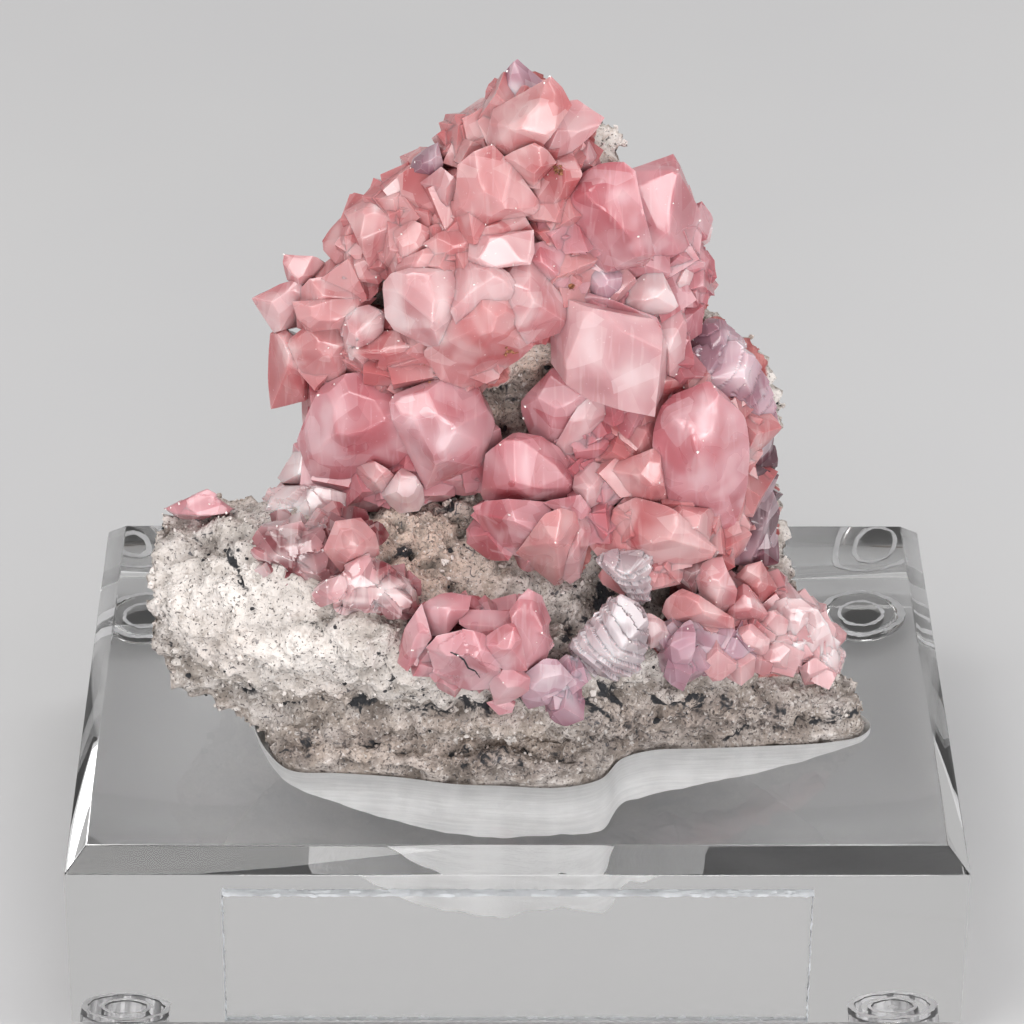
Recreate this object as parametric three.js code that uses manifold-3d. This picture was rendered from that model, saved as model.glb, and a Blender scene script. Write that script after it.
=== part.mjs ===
// A smithsonite specimen: pink rhombohedral crystals on a pale matrix rock, standing in a pocket
// ground into a clear acrylic block on four bumper feet, with a bare label plate on its front.
// Millimetres, +Z up, +X to the right, the front faces -Y. The finished part's origin is the
// middle of its footprint, on the surface that the feet rest on.

import * as THREE from 'three';
import { ConvexGeometry } from 'three/addons/geometries/ConvexGeometry.js';
import { mergeVertices } from 'three/addons/utils/BufferGeometryUtils.js';
import Module from 'manifold-3d';

const wasm = await Module();
wasm.setup();

// ---------------------------------------------------------------- driving dimensions

const GAP = 0.3;               // air left between two pieces that touch
const CRYSTAL_GROWTH = 0.45;   // a crystal is swollen this much where it cuts its neighbours
const ROCK_GROWTH = 0.6;       // and the rock this much

const BLOCK_W = 84;            // acrylic block, across
const BLOCK_D = 61;            // front to back
const BLOCK_H = 19.05;         // three quarters of an inch
const BEVEL = 2;               // 45 degree bevel round the top face

const FOOT_D = 8.4;            // clear bumper feet
const FOOT_H = 2.2;
const FOOT_FLAT_D = 4.6;       // the flat under each dome
const FOOT_PLACES = {
  foot_front_left: [-36.7, -25.5],
  foot_front_right: [35.4, -25.2],
  foot_back_right: [35.5, 24.1],
  foot_back_left: [-37, 23.6],
};

const LABEL_W = 55;            // label plate on the front face
const LABEL_H = 14.8;
const LABEL_T = 1.2;
const LABEL_LIFT = 0.9;        // its lower edge above the block's underside

const POCKET_CENTRE = [3, -4, 12];
// The pocket's rim, counter-clockwise from above: [x, y, depth of the wall there].
const POCKET_RIM = [
  [-25.1, -9.1, 1.2], [-23.7, -13.2, 2], [-21.5, -16.2, 3.6], [-16.7, -16.7, 7.4], [-11, -17.4, 10.6],
  [-6, -18.5, 11.4], [-1.6, -18.8, 11.7], [4.1, -19.1, 10.8], [7.9, -17.7, 11.8], [10.1, -14.2, 11],
  [13, -12.8, 11], [17.6, -12.5, 9], [23.4, -12.1, 6.5], [30.1, -11.4, 2.7], [33.3, -10.2, 1.5],
  [34.2, -8.2, 1.5], [31.5, -4.5, 3], [25, 0, 7], [19, 5, 9], [12, 9.2, 10],
  [3, 11, 11], [-8, 10.5, 11], [-17, 8, 9], [-23, 2, 5], [-25.6, -4, 2],
];
const RIM_STEPS = 34;
const PLINTH_TOP = 21.6;        // the rock fills the pocket up to here, above the block's underside
const PLINTH_INSET = 0.6;
const PLINTH_LIFT = 0.7;

// ---------------------------------------------------------------- layout sheet
// The stone is laid out on a sheet square to one line of sight. A sheet point is [across, down],
// in SHEET units, and it becomes a point of the stone where its sight line reaches a given y.

const EYE = new THREE.Vector3(-4.2, -381.4, 268.2);
const SIGHT_DOWN = THREE.MathUtils.degToRad(31.12);
const SIGHT_YAW = THREE.MathUtils.degToRad(0.57);
const SHEET_ROLL = THREE.MathUtils.degToRad(0.35);
const SHEET_MIDDLE = 512;
const SHEET_DISTANCE = 4647;   // sheet units from the eye to the sheet

const SIGHT = new THREE.Vector3(
  Math.sin(SIGHT_YAW) * Math.cos(SIGHT_DOWN),
  Math.cos(SIGHT_YAW) * Math.cos(SIGHT_DOWN),
  -Math.sin(SIGHT_DOWN),
);
const LEVEL = new THREE.Vector3(Math.cos(SIGHT_YAW), -Math.sin(SIGHT_YAW), 0);
const SHEET_ACROSS = LEVEL.clone().applyAxisAngle(SIGHT, -SHEET_ROLL);
const SHEET_UP = new THREE.Vector3().crossVectors(SHEET_ACROSS, SIGHT);

/** The point where the sight line through a sheet point reaches depth y. */
function at(across, down, y) {
  const way = SIGHT.clone()
    .addScaledVector(SHEET_ACROSS, (across - SHEET_MIDDLE) / SHEET_DISTANCE)
    .addScaledVector(SHEET_UP, (SHEET_MIDDLE - down) / SHEET_DISTANCE);
  return EYE.clone().addScaledVector(way, (y - EYE.y) / way.y);
}

// ---------------------------------------------------------------- the matrix rock
// Rows of the stone from its tip down to the block: [down, left, right, y of the left edge,
// five front depths y evenly between the edges, y of the right edge, y of the back].

const ROCK_ROWS = [
  [76, 512, 536, 2, [1, 0.5, 0, 0.5, 1], 4, 5],
  [100, 500, 572, 2, [1, -1, -2, -1, 1], 4, 6.5],
  [120, 480, 603, 2, [0, -2, -3, -2, 0], 4, 7.5],
  [136, 462, 624, 2, [0, -3, -3, -2, 0], 3, 8],
  [165, 428, 628, 2, [-1, -4, -4, -3, -1], 3, 9],
  [190, 400, 676, 2, [-2, -4, -5, -4, -2], 3, 9.5],
  [240, 352, 703, 2, [-3, -5, -5, -3, -1], 3, 10],
  [280, 330, 702, 1, [-3, -5, -5, -4, -2], 3, 10.5],
  [312, 322, 706, 1, [-3, -5, -5, -4, -2], 3, 11],
  [342, 316, 745, 1, [-3, -5, -4, -4, -2], 3, 11],
  [375, 314, 767, 1, [-3, -4, -3, -4, -3], 2, 11],
  [410, 318, 780, 1, [-3, -4, -2, -4, -4], 1, 11],
  [445, 316, 771, 0, [-3, -3, -3, -5, -5], 1, 11],
  [480, 300, 771, 0, [-3, -3, -5, -6, -6], 1, 11],
  [498, 262, 774, -1, [-3, -4, -6, -7, -7], 1, 11],
  [510, 166, 779, -4, [-5, -7, -6.5, -7.5, -7], 1, 11],
  [530, 147, 786, -7, [-10, -10, -8, -8, -7], 1, 11],
  [560, 158, 791, -9, [-14, -13, -10, -9, -7], 0, 11],
  [590, 150, 806, -10, [-17, -16, -13, -10, -7], 0, 11],
  [620, 144, 823, -11, [-18, -19, -16, -12, -9], -1, 11],
  [650, 146, 841, -11, [-18, -20.5, -19, -14, -11], -3, 11],
  [675, 168, 854, -11, [-17, -20.5, -19.5, -14.5, -12], -6, 11],
  [697, 196, 864, -11, [-16, -19.5, -19.5, -14.5, -12.5], -8, 11],
  [712, 232, 864, -11, [-16, -18.5, -19, -14, -12.5], -9, 11],
  [730, 256, 852, -10, [-16, -18, -18.5, -13.5, -12], -9.5, 11],
];
const BACK_SHARE = [0.62, 0.9, 1, 0.94, 0.7];   // how far each back station reaches from edge to back
// Under the left lobe and the right tip the rock stands clear of the block.
const UNDERCUTS = [
  [[-24.5, 19], [-50, 26], [-50, 15], [-24.5, 15]],
  [[31, 19], [50, 23], [50, 15], [31, 15]],
];

// ---------------------------------------------------------------- the crystals
// Each crystal is the list of its corners [across, down, stand]: stand is how far the corner stands
// out from the rock's face at the crystal's middle, in units of STAND_SHARE millimetres above
// SEAT_LIFT. Crystals of one group are intergrown.

const CRYSTALS = {
  crown_crystals: {
    apex: [[517, 61, 2], [507, 70, 1], [500, 88, 1], [487, 104, 0], [502, 111, 3], [531, 98, 4],
      [541, 82, 1], [526, 69, 1], [518, 86, 5]],
    crown_round: [[496, 110, 2], [523, 97, 4], [548, 81, 2], [558, 91, 3], [567, 107, 4], [550, 134, 7],
      [540, 144, 6], [533, 152, 5], [512, 154, 4], [496, 146, 3], [490, 137, 2], [493, 122, 3],
      [520, 118, 8], [538, 112, 8]],
    crown_rhomb: [[566, 104, 2], [577, 103, 1], [601, 119, 1], [589, 136, 2], [571, 151, 3],
      [552, 164, 4], [545, 150, 5], [541, 141, 5], [551, 132, 6]],
    crown_point: [[505, 158, 3], [513, 153, 4], [534, 145, 6], [546, 152, 5], [553, 163, 4],
      [546, 172, 3], [533, 187, 2], [520, 180, 2], [511, 168, 2], [534, 167, 7]],
    left_flank: [[488, 108, 0], [465, 119, 0], [452, 133, 0], [440, 147, 0], [446, 160, 1],
      [460, 167, 2], [478, 157, 3], [492, 150, 3], [492, 128, 3], [470, 138, 4]],
    flank_clear: [[440, 147, 0], [452, 142, 2], [475, 155, 4], [458, 168, 3], [446, 161, 2],
      [453, 152, 5]],
    saddle: [[571, 152, 2], [589, 136, 2], [601, 150, 2], [612, 165, 2], [600, 173, 3],
      [580, 176, 3], [590, 158, 4]],
    saddle_low: [[533, 188, 1], [545, 174, 2], [556, 164, 2], [571, 154, 2], [580, 176, 3],
      [572, 187, 3], [562, 200, 3], [558, 215, 2], [545, 215, 2], [538, 204, 2], [558, 180, 4]],
  },
  keystone_crystals: {
    flank_lilac: [[437, 144, 0], [427, 148, 0], [412, 160, 0], [412, 173, 1], [433, 179, 2],
      [441, 163, 3], [429, 162, 4]],
    pale_column: [[433, 178, 3], [441, 169, 3], [453, 178, 4], [460, 190, 4], [457, 203, 4],
      [449, 210, 4], [431, 193, 4], [422, 183, 3], [445, 188, 6]],
    shoulder: [[400, 178, 1], [412, 171, 1], [434, 180, 3], [450, 211, 4], [459, 218, 3],
      [440, 224, 2], [418, 224, 2], [406, 206, 2], [425, 203, 4]],
    keystone: [[461, 168, 2], [475, 156, 2], [492, 149, 2], [501, 158, 3], [520, 180, 3],
      [537, 204, 3], [529, 212, 3], [512, 218, 2], [497, 222, 2], [481, 228, 2], [462, 223, 1],
      [456, 208, 2], [459, 188, 3], [500, 170, 5], [497, 205, 7], [470, 204, 5]],
    bright_edge: [[380, 190, 1], [385, 186, 1], [400, 178, 1], [411, 189, 3], [409, 206, 4],
      [402, 218, 3], [395, 217, 3], [385, 204, 2], [398, 195, 5]],
  },
  left_crystals: {
    curved_left: [[322, 245, 0], [331, 230, 0], [347, 214, 0], [354, 222, 3], [372, 262, 5],
      [352, 263, 4], [336, 261, 3], [345, 240, 4]],
    curved_right: [[347, 214, 0], [378, 197, 1], [396, 217, 3], [403, 223, 4], [397, 250, 5],
      [388, 275, 6], [372, 270, 5], [354, 225, 4], [372, 235, 6]],
    under_keystone: [[426, 244, 2], [440, 233, 2], [463, 227, 2], [476, 232, 2], [474, 246, 3],
      [460, 252, 3], [446, 259, 3], [433, 252, 3], [450, 242, 4]],
    under_shoulder: [[395, 232, 2], [412, 222, 2], [428, 230, 3], [428, 247, 3], [412, 260, 4],
      [398, 264, 3], [410, 242, 5]],
    deep_band: [[465, 228, 2], [498, 222, 2], [520, 215, 2], [531, 233, 2], [500, 241, 3],
      [474, 240, 3], [495, 232, 4]],
    blade_high: [[282, 254, 1], [312, 256, 2], [318, 261, 2], [311, 276, 2], [299, 287, 2],
      [288, 279, 1], [297, 268, 4]],
    blade_left: [[253, 296, 1], [270, 288, 1], [294, 282, 2], [302, 292, 3], [297, 301, 3],
      [290, 312, 3], [280, 328, 2], [274, 330, 1], [262, 313, 1], [278, 304, 4]],
    blade_low: [[272, 332, 0], [280, 330, 1], [292, 341, 3], [300, 360, 3], [302, 397, 2],
      [272, 404, 1], [268, 365, 0], [284, 362, 4]],
    slab_back: [[333, 270, 1], [345, 262, 2], [362, 257, 2], [366, 268, 3], [383, 277, 4],
      [376, 283, 4], [340, 277, 3], [358, 268, 4]],
    slab_high: [[302, 290, 3], [312, 280, 3], [338, 275, 3], [376, 281, 4], [374, 292, 5],
      [366, 300, 6], [330, 301, 6], [300, 303, 4]],
    slab_mid: [[297, 303, 4], [345, 300, 6], [373, 299, 6], [362, 312, 6], [350, 320, 6],
      [342, 327, 6], [308, 330, 5], [301, 318, 5], [330, 312, 8]],
    slab_low: [[306, 330, 4], [342, 327, 5], [350, 341, 5], [346, 355, 5], [337, 372, 5],
      [340, 383, 4], [325, 388, 3], [312, 382, 3], [297, 362, 3], [291, 350, 3], [292, 341, 3],
      [325, 350, 7]],
    broken_white: [[347, 320, 5], [353, 311, 6], [366, 305, 6], [378, 309, 6], [385, 318, 6],
      [383, 332, 6], [368, 342, 6], [352, 357, 5], [348, 345, 5], [346, 333, 5], [362, 325, 8]],
    under_broken: [[350, 352, 3], [352, 358, 3], [368, 369, 3], [386, 368, 3], [398, 352, 4],
      [425, 351, 4], [429, 340, 4], [418, 333, 4], [385, 334, 4], [366, 342, 4], [390, 348, 6]],
    bright_front: [[387, 285, 5], [394, 277, 5], [410, 272, 5], [448, 272, 5], [454, 286, 6],
      [452, 312, 6], [447, 327, 6], [439, 349, 5], [424, 342, 5], [408, 334, 5], [396, 328, 5],
      [388, 316, 5], [386, 300, 5], [422, 286, 9], [432, 325, 9]],
    upper_right: [[451, 285, 4], [456, 272, 3], [470, 263, 3], [492, 265, 4], [506, 274, 5],
      [513, 285, 6], [508, 297, 6], [487, 295, 7], [470, 306, 7], [458, 321, 6], [453, 308, 6],
      [484, 280, 8]],
    right_fan: [[505, 275, 4], [514, 263, 3], [531, 260, 3], [549, 283, 3], [559, 298, 3],
      [567, 323, 3], [562, 328, 3], [548, 333, 4], [527, 340, 5], [518, 326, 7], [512, 315, 7],
      [507, 295, 7], [530, 300, 8]],
    big_low: [[487, 294, 7], [500, 297, 6], [514, 317, 6], [529, 344, 5], [518, 356, 4],
      [500, 368, 3], [488, 378, 2], [475, 387, 2], [462, 383, 2], [440, 375, 3], [430, 366, 3],
      [430, 350, 4], [446, 334, 5], [460, 312, 6], [472, 301, 6], [495, 322, 10]],
    flat_plate: [[472, 238, 3], [500, 238, 4], [530, 232, 3], [531, 252, 4], [527, 263, 5],
      [505, 264, 5], [488, 268, 5], [470, 262, 4], [475, 250, 4], [505, 250, 6]],
    round_right: [[530, 247, 3], [545, 243, 3], [559, 250, 3], [570, 264, 2], [573, 285, 2],
      [560, 298, 2], [548, 284, 3], [537, 268, 4], [530, 260, 4], [552, 266, 6]],
  },
  twin_crystals: {
    twin_left: [[558, 215, 3], [562, 201, 3], [573, 186, 3], [590, 174, 3], [606, 168, 3],
      [622, 168, 4], [632, 176, 5], [640, 214, 7], [643, 238, 7], [650, 251, 6], [640, 264, 4],
      [620, 272, 3], [602, 270, 3], [590, 258, 3], [575, 240, 3], [590, 195, 8], [633, 249, 9],
      [605, 215, 9]],
    twin_right: [[628, 175, 4], [639, 172, 3], [650, 170, 2], [672, 160, 1], [679, 171, 3],
      [690, 195, 2], [698, 214, 1], [696, 222, 2], [688, 240, 3], [679, 250, 4], [660, 257, 5],
      [651, 252, 7], [643, 240, 7], [640, 214, 8], [633, 192, 7], [676, 174, 6], [668, 232, 8]],
    right_knob: [[698, 215, 0], [706, 217, 0], [712, 228, 0], [709, 241, 0], [700, 247, 1],
      [690, 240, 2], [694, 226, 2], [702, 230, 2]],
    lilac_middle: [[583, 263, 1], [590, 257, 1], [603, 268, 2], [620, 273, 2], [618, 291, 2],
      [607, 301, 2], [590, 296, 2], [582, 280, 1], [603, 282, 4]],
  },
  pendant_crystals: {
    pendant: [[663, 280, 3], [672, 270, 3], [697, 255, 2], [703, 270, 2], [709, 282, 1],
      [703, 296, 2], [699, 306, 2], [686, 316, 3], [678, 310, 4], [671, 298, 4], [685, 283, 6]],
    grey_clear: [[619, 301, 2], [630, 286, 3], [645, 275, 3], [660, 273, 3], [668, 289, 4],
      [676, 308, 3], [655, 315, 3], [640, 312, 4], [628, 307, 4], [648, 293, 6]],
  },
  square_crystals: {
    square: [[571, 310, 7], [612, 317, 8], [653, 327, 7], [656, 350, 7], [650, 410, 6],
      [620, 404, 7], [590, 394, 7], [571, 381, 7], [567, 302, 2], [645, 318, 2], [662, 345, 2],
      [660, 385, 2], [556, 335, 3], [557, 362, 3], [612, 355, 9]],
    band: [[567, 288, 2], [590, 297, 3], [620, 302, 3], [650, 313, 3], [655, 326, 3],
      [571, 312, 3], [562, 300, 2]],
    grey_blade: [[655, 319, 2], [661, 313, 2], [684, 312, 2], [685, 340, 3], [680, 379, 3],
      [668, 375, 4], [658, 366, 3], [668, 345, 5]],
    under_left: [[524, 402, 3], [545, 378, 3], [558, 368, 3], [575, 380, 4], [588, 393, 5],
      [580, 408, 5], [566, 430, 4], [556, 441, 3], [546, 441, 3], [533, 433, 2], [525, 415, 2],
      [560, 395, 7]],
    under_middle: [[588, 393, 4], [602, 400, 3], [613, 418, 2], [600, 425, 2], [590, 438, 2],
      [576, 450, 2], [563, 455, 2], [556, 447, 2], [561, 434, 3], [577, 412, 5], [592, 412, 5]],
    beside: [[656, 371, 2], [668, 377, 3], [682, 387, 2], [670, 394, 2], [652, 412, 2],
      [648, 409, 2], [655, 390, 4]],
  },
  pair_crystals: {
    pair_left: [[325, 389, 3], [345, 380, 3], [362, 378, 3], [380, 386, 4], [397, 399, 5],
      [402, 428, 7], [410, 452, 6], [418, 470, 3], [400, 470, 3], [385, 464, 4], [358, 460, 5],
      [354, 478, 4], [345, 491, 2], [330, 482, 2], [318, 478, 2], [310, 462, 2], [303, 440, 1],
      [310, 420, 2], [318, 402, 2], [372, 420, 9], [345, 430, 8], [328, 440, 6]],
    pair_right: [[394, 405, 6], [399, 397, 5], [411, 390, 4], [435, 382, 3], [455, 376, 2],
      [469, 383, 2], [479, 393, 2], [488, 408, 2], [489, 425, 2], [484, 443, 3], [476, 462, 3],
      [445, 474, 3], [427, 483, 3], [414, 464, 4], [403, 440, 6], [397, 420, 7], [425, 405, 10],
      [450, 430, 10], [438, 455, 9]],
    pair_side: [[466, 448, 3], [485, 442, 1], [484, 455, 0], [478, 468, 0], [460, 473, 1],
      [450, 470, 2]],
    back_strip: [[302, 387, 0], [314, 383, 1], [327, 388, 2], [320, 404, 2], [309, 426, 1],
      [303, 434, 0], [302, 410, 0], [314, 405, 2]],
    hanging: [[357, 461, 3], [372, 462, 4], [386, 470, 5], [397, 481, 4], [390, 492, 3],
      [384, 499, 2], [371, 499, 1], [362, 492, 1], [358, 477, 2], [376, 480, 6]],
    clear_small: [[383, 494, 4], [390, 481, 5], [402, 470, 5], [413, 476, 5], [421, 487, 4],
      [422, 500, 3], [417, 509, 3], [400, 511, 3], [391, 504, 3], [404, 488, 7]],
    left_low: [[303, 440, 0], [312, 452, 2], [311, 470, 2], [318, 478, 2], [300, 482, 2],
      [284, 482, 1], [279, 477, 0], [285, 466, 0], [298, 459, 0], [300, 468, 4]],
  },
  fan_crystals: {
    fan_top: [[487, 452, 3], [500, 440, 3], [520, 436, 3], [540, 440, 3], [556, 450, 2],
      [568, 465, 2], [575, 477, 2], [579, 490, 2], [566, 497, 4], [530, 497, 6], [512, 503, 4],
      [490, 500, 3], [484, 488, 3], [486, 470, 3], [513, 446, 6], [524, 478, 9], [560, 480, 6]],
    fan_left: [[476, 508, 3], [490, 502, 4], [520, 500, 6], [547, 503, 6], [550, 517, 7],
      [538, 533, 6], [520, 553, 3], [500, 549, 2], [487, 532, 2], [488, 520, 3], [515, 520, 7]],
    fan_point: [[519, 552, 3], [532, 538, 6], [545, 517, 7], [560, 512, 6], [576, 516, 4],
      [577, 535, 3], [570, 560, 2], [560, 585, 0], [549, 578, 1], [535, 568, 2], [556, 545, 8],
      [552, 518, 8]],
    fan_right: [[545, 503, 5], [562, 498, 4], [579, 496, 3], [591, 512, 2], [580, 518, 4],
      [562, 514, 6]],
    fan_lilac: [[574, 488, 2], [577, 472, 1], [593, 465, 0], [606, 469, 0], [611, 480, 0],
      [606, 500, 0], [600, 522, 0], [590, 523, 1], [583, 508, 2], [590, 490, 4]],
    fan_low: [[576, 517, 3], [589, 523, 2], [589, 540, 1], [584, 560, 1], [580, 575, 1],
      [571, 581, 1], [562, 575, 2], [570, 556, 4], [578, 545, 4]],
  },
  egg_crystals: {
    egg: [[658, 428, 4], [665, 411, 4], [677, 397, 4], [690, 390, 4], [705, 386, 4], [720, 393, 4],
      [733, 406, 4], [742, 425, 4], [745, 450, 4], [743, 478, 4], [738, 503, 3], [731, 517, 2],
      [718, 522, 2], [700, 518, 3], [682, 508, 4], [668, 495, 5], [661, 472, 5], [657, 450, 5],
      [690, 420, 9], [705, 400, 7], [700, 465, 10], [715, 440, 9]],
    left_of_egg: [[612, 471, 2], [622, 463, 2], [640, 456, 3], [657, 450, 4], [661, 470, 5],
      [666, 486, 4], [664, 500, 3], [652, 510, 2], [638, 500, 2], [625, 492, 2], [648, 478, 7]],
    below_egg: [[613, 530, 1], [622, 508, 1], [636, 500, 2], [652, 510, 4], [668, 508, 5],
      [672, 525, 6], [690, 535, 5], [716, 552, 3], [690, 561, 2], [652, 569, 2], [632, 558, 2],
      [614, 550, 1], [662, 540, 7]],
    below_right: [[668, 514, 4], [680, 507, 4], [714, 511, 3], [711, 526, 3], [707, 540, 4],
      [690, 540, 5], [674, 526, 6], [692, 522, 7]],
    deep_left: [[620, 428, 1], [640, 416, 1], [657, 418, 2], [659, 448, 3], [640, 457, 3],
      [621, 464, 2], [608, 455, 1], [640, 438, 4]],
  },
  edge_crystals_upper: {
    mauve_top: [[686, 350, 1], [700, 335, 0], [709, 320, 0], [722, 322, 0], [733, 332, 0],
      [746, 346, 0], [735, 350, 2], [715, 350, 3], [700, 358, 2], [712, 338, 3]],
    mauve_middle: [[688, 358, 2], [700, 348, 2], [716, 342, 3], [736, 345, 2], [752, 360, 1],
      [765, 385, 0], [771, 408, 0], [772, 424, 0], [755, 420, 2], [735, 405, 3], [720, 392, 3],
      [705, 386, 3], [691, 388, 2], [735, 375, 5], [715, 365, 5]],
    purple_upper: [[742, 424, 3], [735, 408, 3], [755, 418, 3], [773, 424, 1], [771, 443, 1],
      [769, 462, 1], [758, 468, 2], [746, 464, 3], [744, 445, 3], [757, 440, 5]],
  },
  edge_crystals_lower: {
    purple_lower: [[744, 480, 3], [765, 477, 2], [772, 498, 1], [777, 513, 1], [775, 531, 1],
      [768, 556, 1], [750, 562, 3], [735, 560, 3], [728, 542, 3], [727, 524, 3], [738, 505, 3],
      [752, 520, 6]],
  },
  corner_crystals: {
    clear_point: [[698, 580, 5], [704, 565, 5], [724, 555, 4], [729, 570, 6], [735, 590, 6],
      [733, 605, 5], [727, 616, 4], [717, 616, 4], [708, 605, 4], [700, 596, 4], [715, 585, 8]],
    round_pink: [[736, 578, 3], [747, 567, 3], [761, 563, 3], [770, 574, 2], [776, 588, 2],
      [771, 598, 2], [761, 604, 3], [750, 592, 4], [756, 580, 6]],
    middle_pink: [[733, 592, 4], [745, 585, 4], [761, 602, 3], [766, 615, 3], [755, 625, 3],
      [740, 626, 3], [727, 618, 4], [733, 605, 5], [746, 605, 6]],
    left_pink: [[665, 612, 2], [669, 600, 2], [682, 590, 2], [700, 598, 3], [712, 612, 4],
      [730, 618, 3], [731, 630, 2], [715, 631, 2], [698, 627, 2], [688, 622, 2], [674, 624, 2],
      [695, 610, 5]],
    deep_pink: [[670, 572, 1], [690, 561, 1], [717, 552, 2], [708, 564, 3], [699, 580, 3],
      [693, 596, 2], [681, 590, 1], [675, 580, 1], [690, 578, 4]],
    druse_top: [[765, 600, 2], [778, 588, 1], [788, 584, 0], [800, 598, 1], [806, 612, 2],
      [790, 620, 3], [772, 618, 3], [785, 603, 5]],
    druse_right: [[800, 600, 1], [810, 605, 0], [822, 620, 0], [815, 635, 1], [806, 645, 2],
      [793, 640, 3], [790, 622, 3], [806, 622, 5]],
    druse_middle: [[760, 615, 3], [775, 612, 3], [788, 622, 3], [782, 640, 3], [768, 642, 3],
      [755, 630, 3], [770, 627, 5]],
    druse_left: [[735, 630, 2], [752, 625, 3], [768, 640, 3], [765, 655, 2], [745, 655, 1],
      [735, 645, 1], [750, 640, 5]],
    druse_low: [[762, 650, 2], [778, 643, 3], [788, 650, 3], [785, 668, 2], [770, 673, 1],
      [758, 665, 1], [773, 657, 5]],
    druse_tip: [[815, 636, 1], [828, 640, 1], [840, 652, 1], [838, 662, 1], [822, 660, 3],
      [814, 650, 3], [826, 648, 4]],
    druse_base: [[735, 640, 1], [765, 600, 1], [800, 602, 1], [822, 622, 1], [842, 655, 1],
      [826, 684, 1], [800, 684, 1], [760, 672, 1], [790, 645, 3]],
  },
  lilac_crystals: {
    lilac_left: [[654, 660, 0], [668, 642, 1], [684, 625, 1], [690, 622, 1], [696, 640, 3],
      [690, 660, 2], [675, 672, 0], [662, 670, 0], [678, 650, 5]],
    lilac_right: [[696, 630, 1], [710, 632, 1], [735, 640, 0], [748, 655, 0], [733, 667, 0],
      [705, 674, 0], [690, 664, 1], [712, 650, 4]],
  },
  small_crystal: {
    small_clear: [[638, 618, 3], [650, 615, 3], [663, 623, 2], [667, 633, 2], [657, 645, 2],
      [650, 647, 2], [644, 632, 3], [653, 630, 5]],
  },
  flaky_crystals: {
    flaky: [[610, 604, 3], [626, 599, 3], [638, 612, 3], [642, 626, 3], [641, 650, 2],
      [634, 668, 2], [615, 674, 2], [600, 672, 2], [585, 661, 3], [575, 646, 3], [592, 640, 4],
      [612, 634, 5], [615, 650, 6]],
  },
  cleaved_crystal: {
    cleaved: [[600, 560, 3], [615, 554, 3], [648, 555, 2], [649, 575, 2], [646, 596, 2],
      [636, 600, 2], [625, 590, 4], [614, 576, 5], [625, 568, 6]],
  },
  mauve_crystal: {
    mauve_low: [[527, 674, 2], [545, 660, 2], [556, 661, 2], [571, 678, 1], [560, 690, 1],
      [548, 702, 1], [530, 706, 1], [522, 695, 2], [543, 680, 4]],
  },
  rose_crystals: {
    petal_top: [[420, 612, 2], [426, 603, 2], [440, 596, 1], [455, 594, 1], [468, 598, 1],
      [466, 610, 3], [455, 622, 4], [446, 633, 5], [430, 634, 4], [423, 625, 3], [445, 610, 5]],
    petal_left: [[421, 606, 1], [414, 622, 1], [405, 630, 1], [403, 646, 1], [399, 660, 0],
      [408, 668, 1], [421, 650, 3], [430, 638, 4], [425, 622, 3], [414, 642, 4]],
    upper_middle: [[460, 612, 3], [480, 608, 2], [505, 612, 2], [515, 619, 3], [511, 629, 5],
      [488, 637, 6], [474, 632, 6], [462, 624, 5]],
    body: [[430, 650, 4], [440, 638, 5], [462, 632, 6], [482, 636, 7], [492, 646, 7],
      [494, 662, 6], [500, 676, 4], [489, 686, 2], [470, 687, 2], [450, 681, 2], [437, 668, 3],
      [465, 655, 8]],
    bright_face: [[484, 640, 7], [500, 628, 7], [513, 625, 7], [520, 640, 7], [525, 668, 5],
      [510, 669, 5], [500, 666, 6], [492, 655, 7], [508, 645, 9]],
    petal_right: [[509, 617, 4], [520, 601, 3], [532, 590, 1], [541, 600, 1], [549, 622, 1],
      [551, 640, 1], [545, 656, 2], [531, 670, 3], [521, 678, 4], [525, 662, 6], [520, 640, 7],
      [515, 625, 6], [533, 630, 7]],
    bottom: [[495, 675, 4], [501, 668, 4], [519, 670, 4], [528, 678, 3], [527, 690, 2],
      [515, 700, 1], [496, 703, 1], [489, 691, 2], [510, 684, 5]],
  },
  shelf_crystals: {
    fracture: [[250, 527, 1], [264, 536, 2], [300, 536, 3], [325, 527, 3], [340, 521, 2],
      [328, 545, 4], [330, 562, 3], [346, 573, 2], [334, 583, 2], [318, 600, 1], [308, 590, 1],
      [290, 572, 1], [270, 562, 1], [255, 545, 1], [300, 560, 2]],
  },
  shelf_druse: {
    druse_back: [[262, 497, 0], [276, 482, 0], [286, 486, 1], [300, 487, 2], [325, 485, 2],
      [348, 493, 1], [343, 511, 2], [338, 522, 3], [320, 518, 5], [300, 532, 5], [283, 535, 4],
      [262, 530, 3], [250, 518, 1], [258, 505, 1], [300, 508, 6]],
  },
  salmon_crystal: {
    salmon: [[326, 549, 5], [337, 524, 4], [360, 520, 3], [373, 535, 3], [377, 553, 3],
      [360, 563, 4], [343, 571, 4], [354, 547, 8]],
  },
  broken_crystals: {
    broken: [[345, 574, 3], [360, 565, 4], [378, 556, 3], [391, 571, 2], [405, 582, 1],
      [421, 603, 0], [415, 619, 1], [405, 612, 3], [372, 607, 4], [342, 606, 4], [335, 598, 3],
      [378, 580, 7]],
    sliver: [[312, 598, 2], [320, 585, 2], [335, 578, 3], [350, 571, 3], [345, 588, 4],
      [335, 600, 3], [322, 606, 2]],
  },
  lobe_crystal: {
    lobe: [[163, 507, 1], [180, 500, 1], [192, 496, 1], [206, 489, 1], [218, 497, 1],
      [232, 508, 1], [225, 513, 2], [200, 516, 3], [178, 515, 2], [205, 505, 4]],
  },
};

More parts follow.
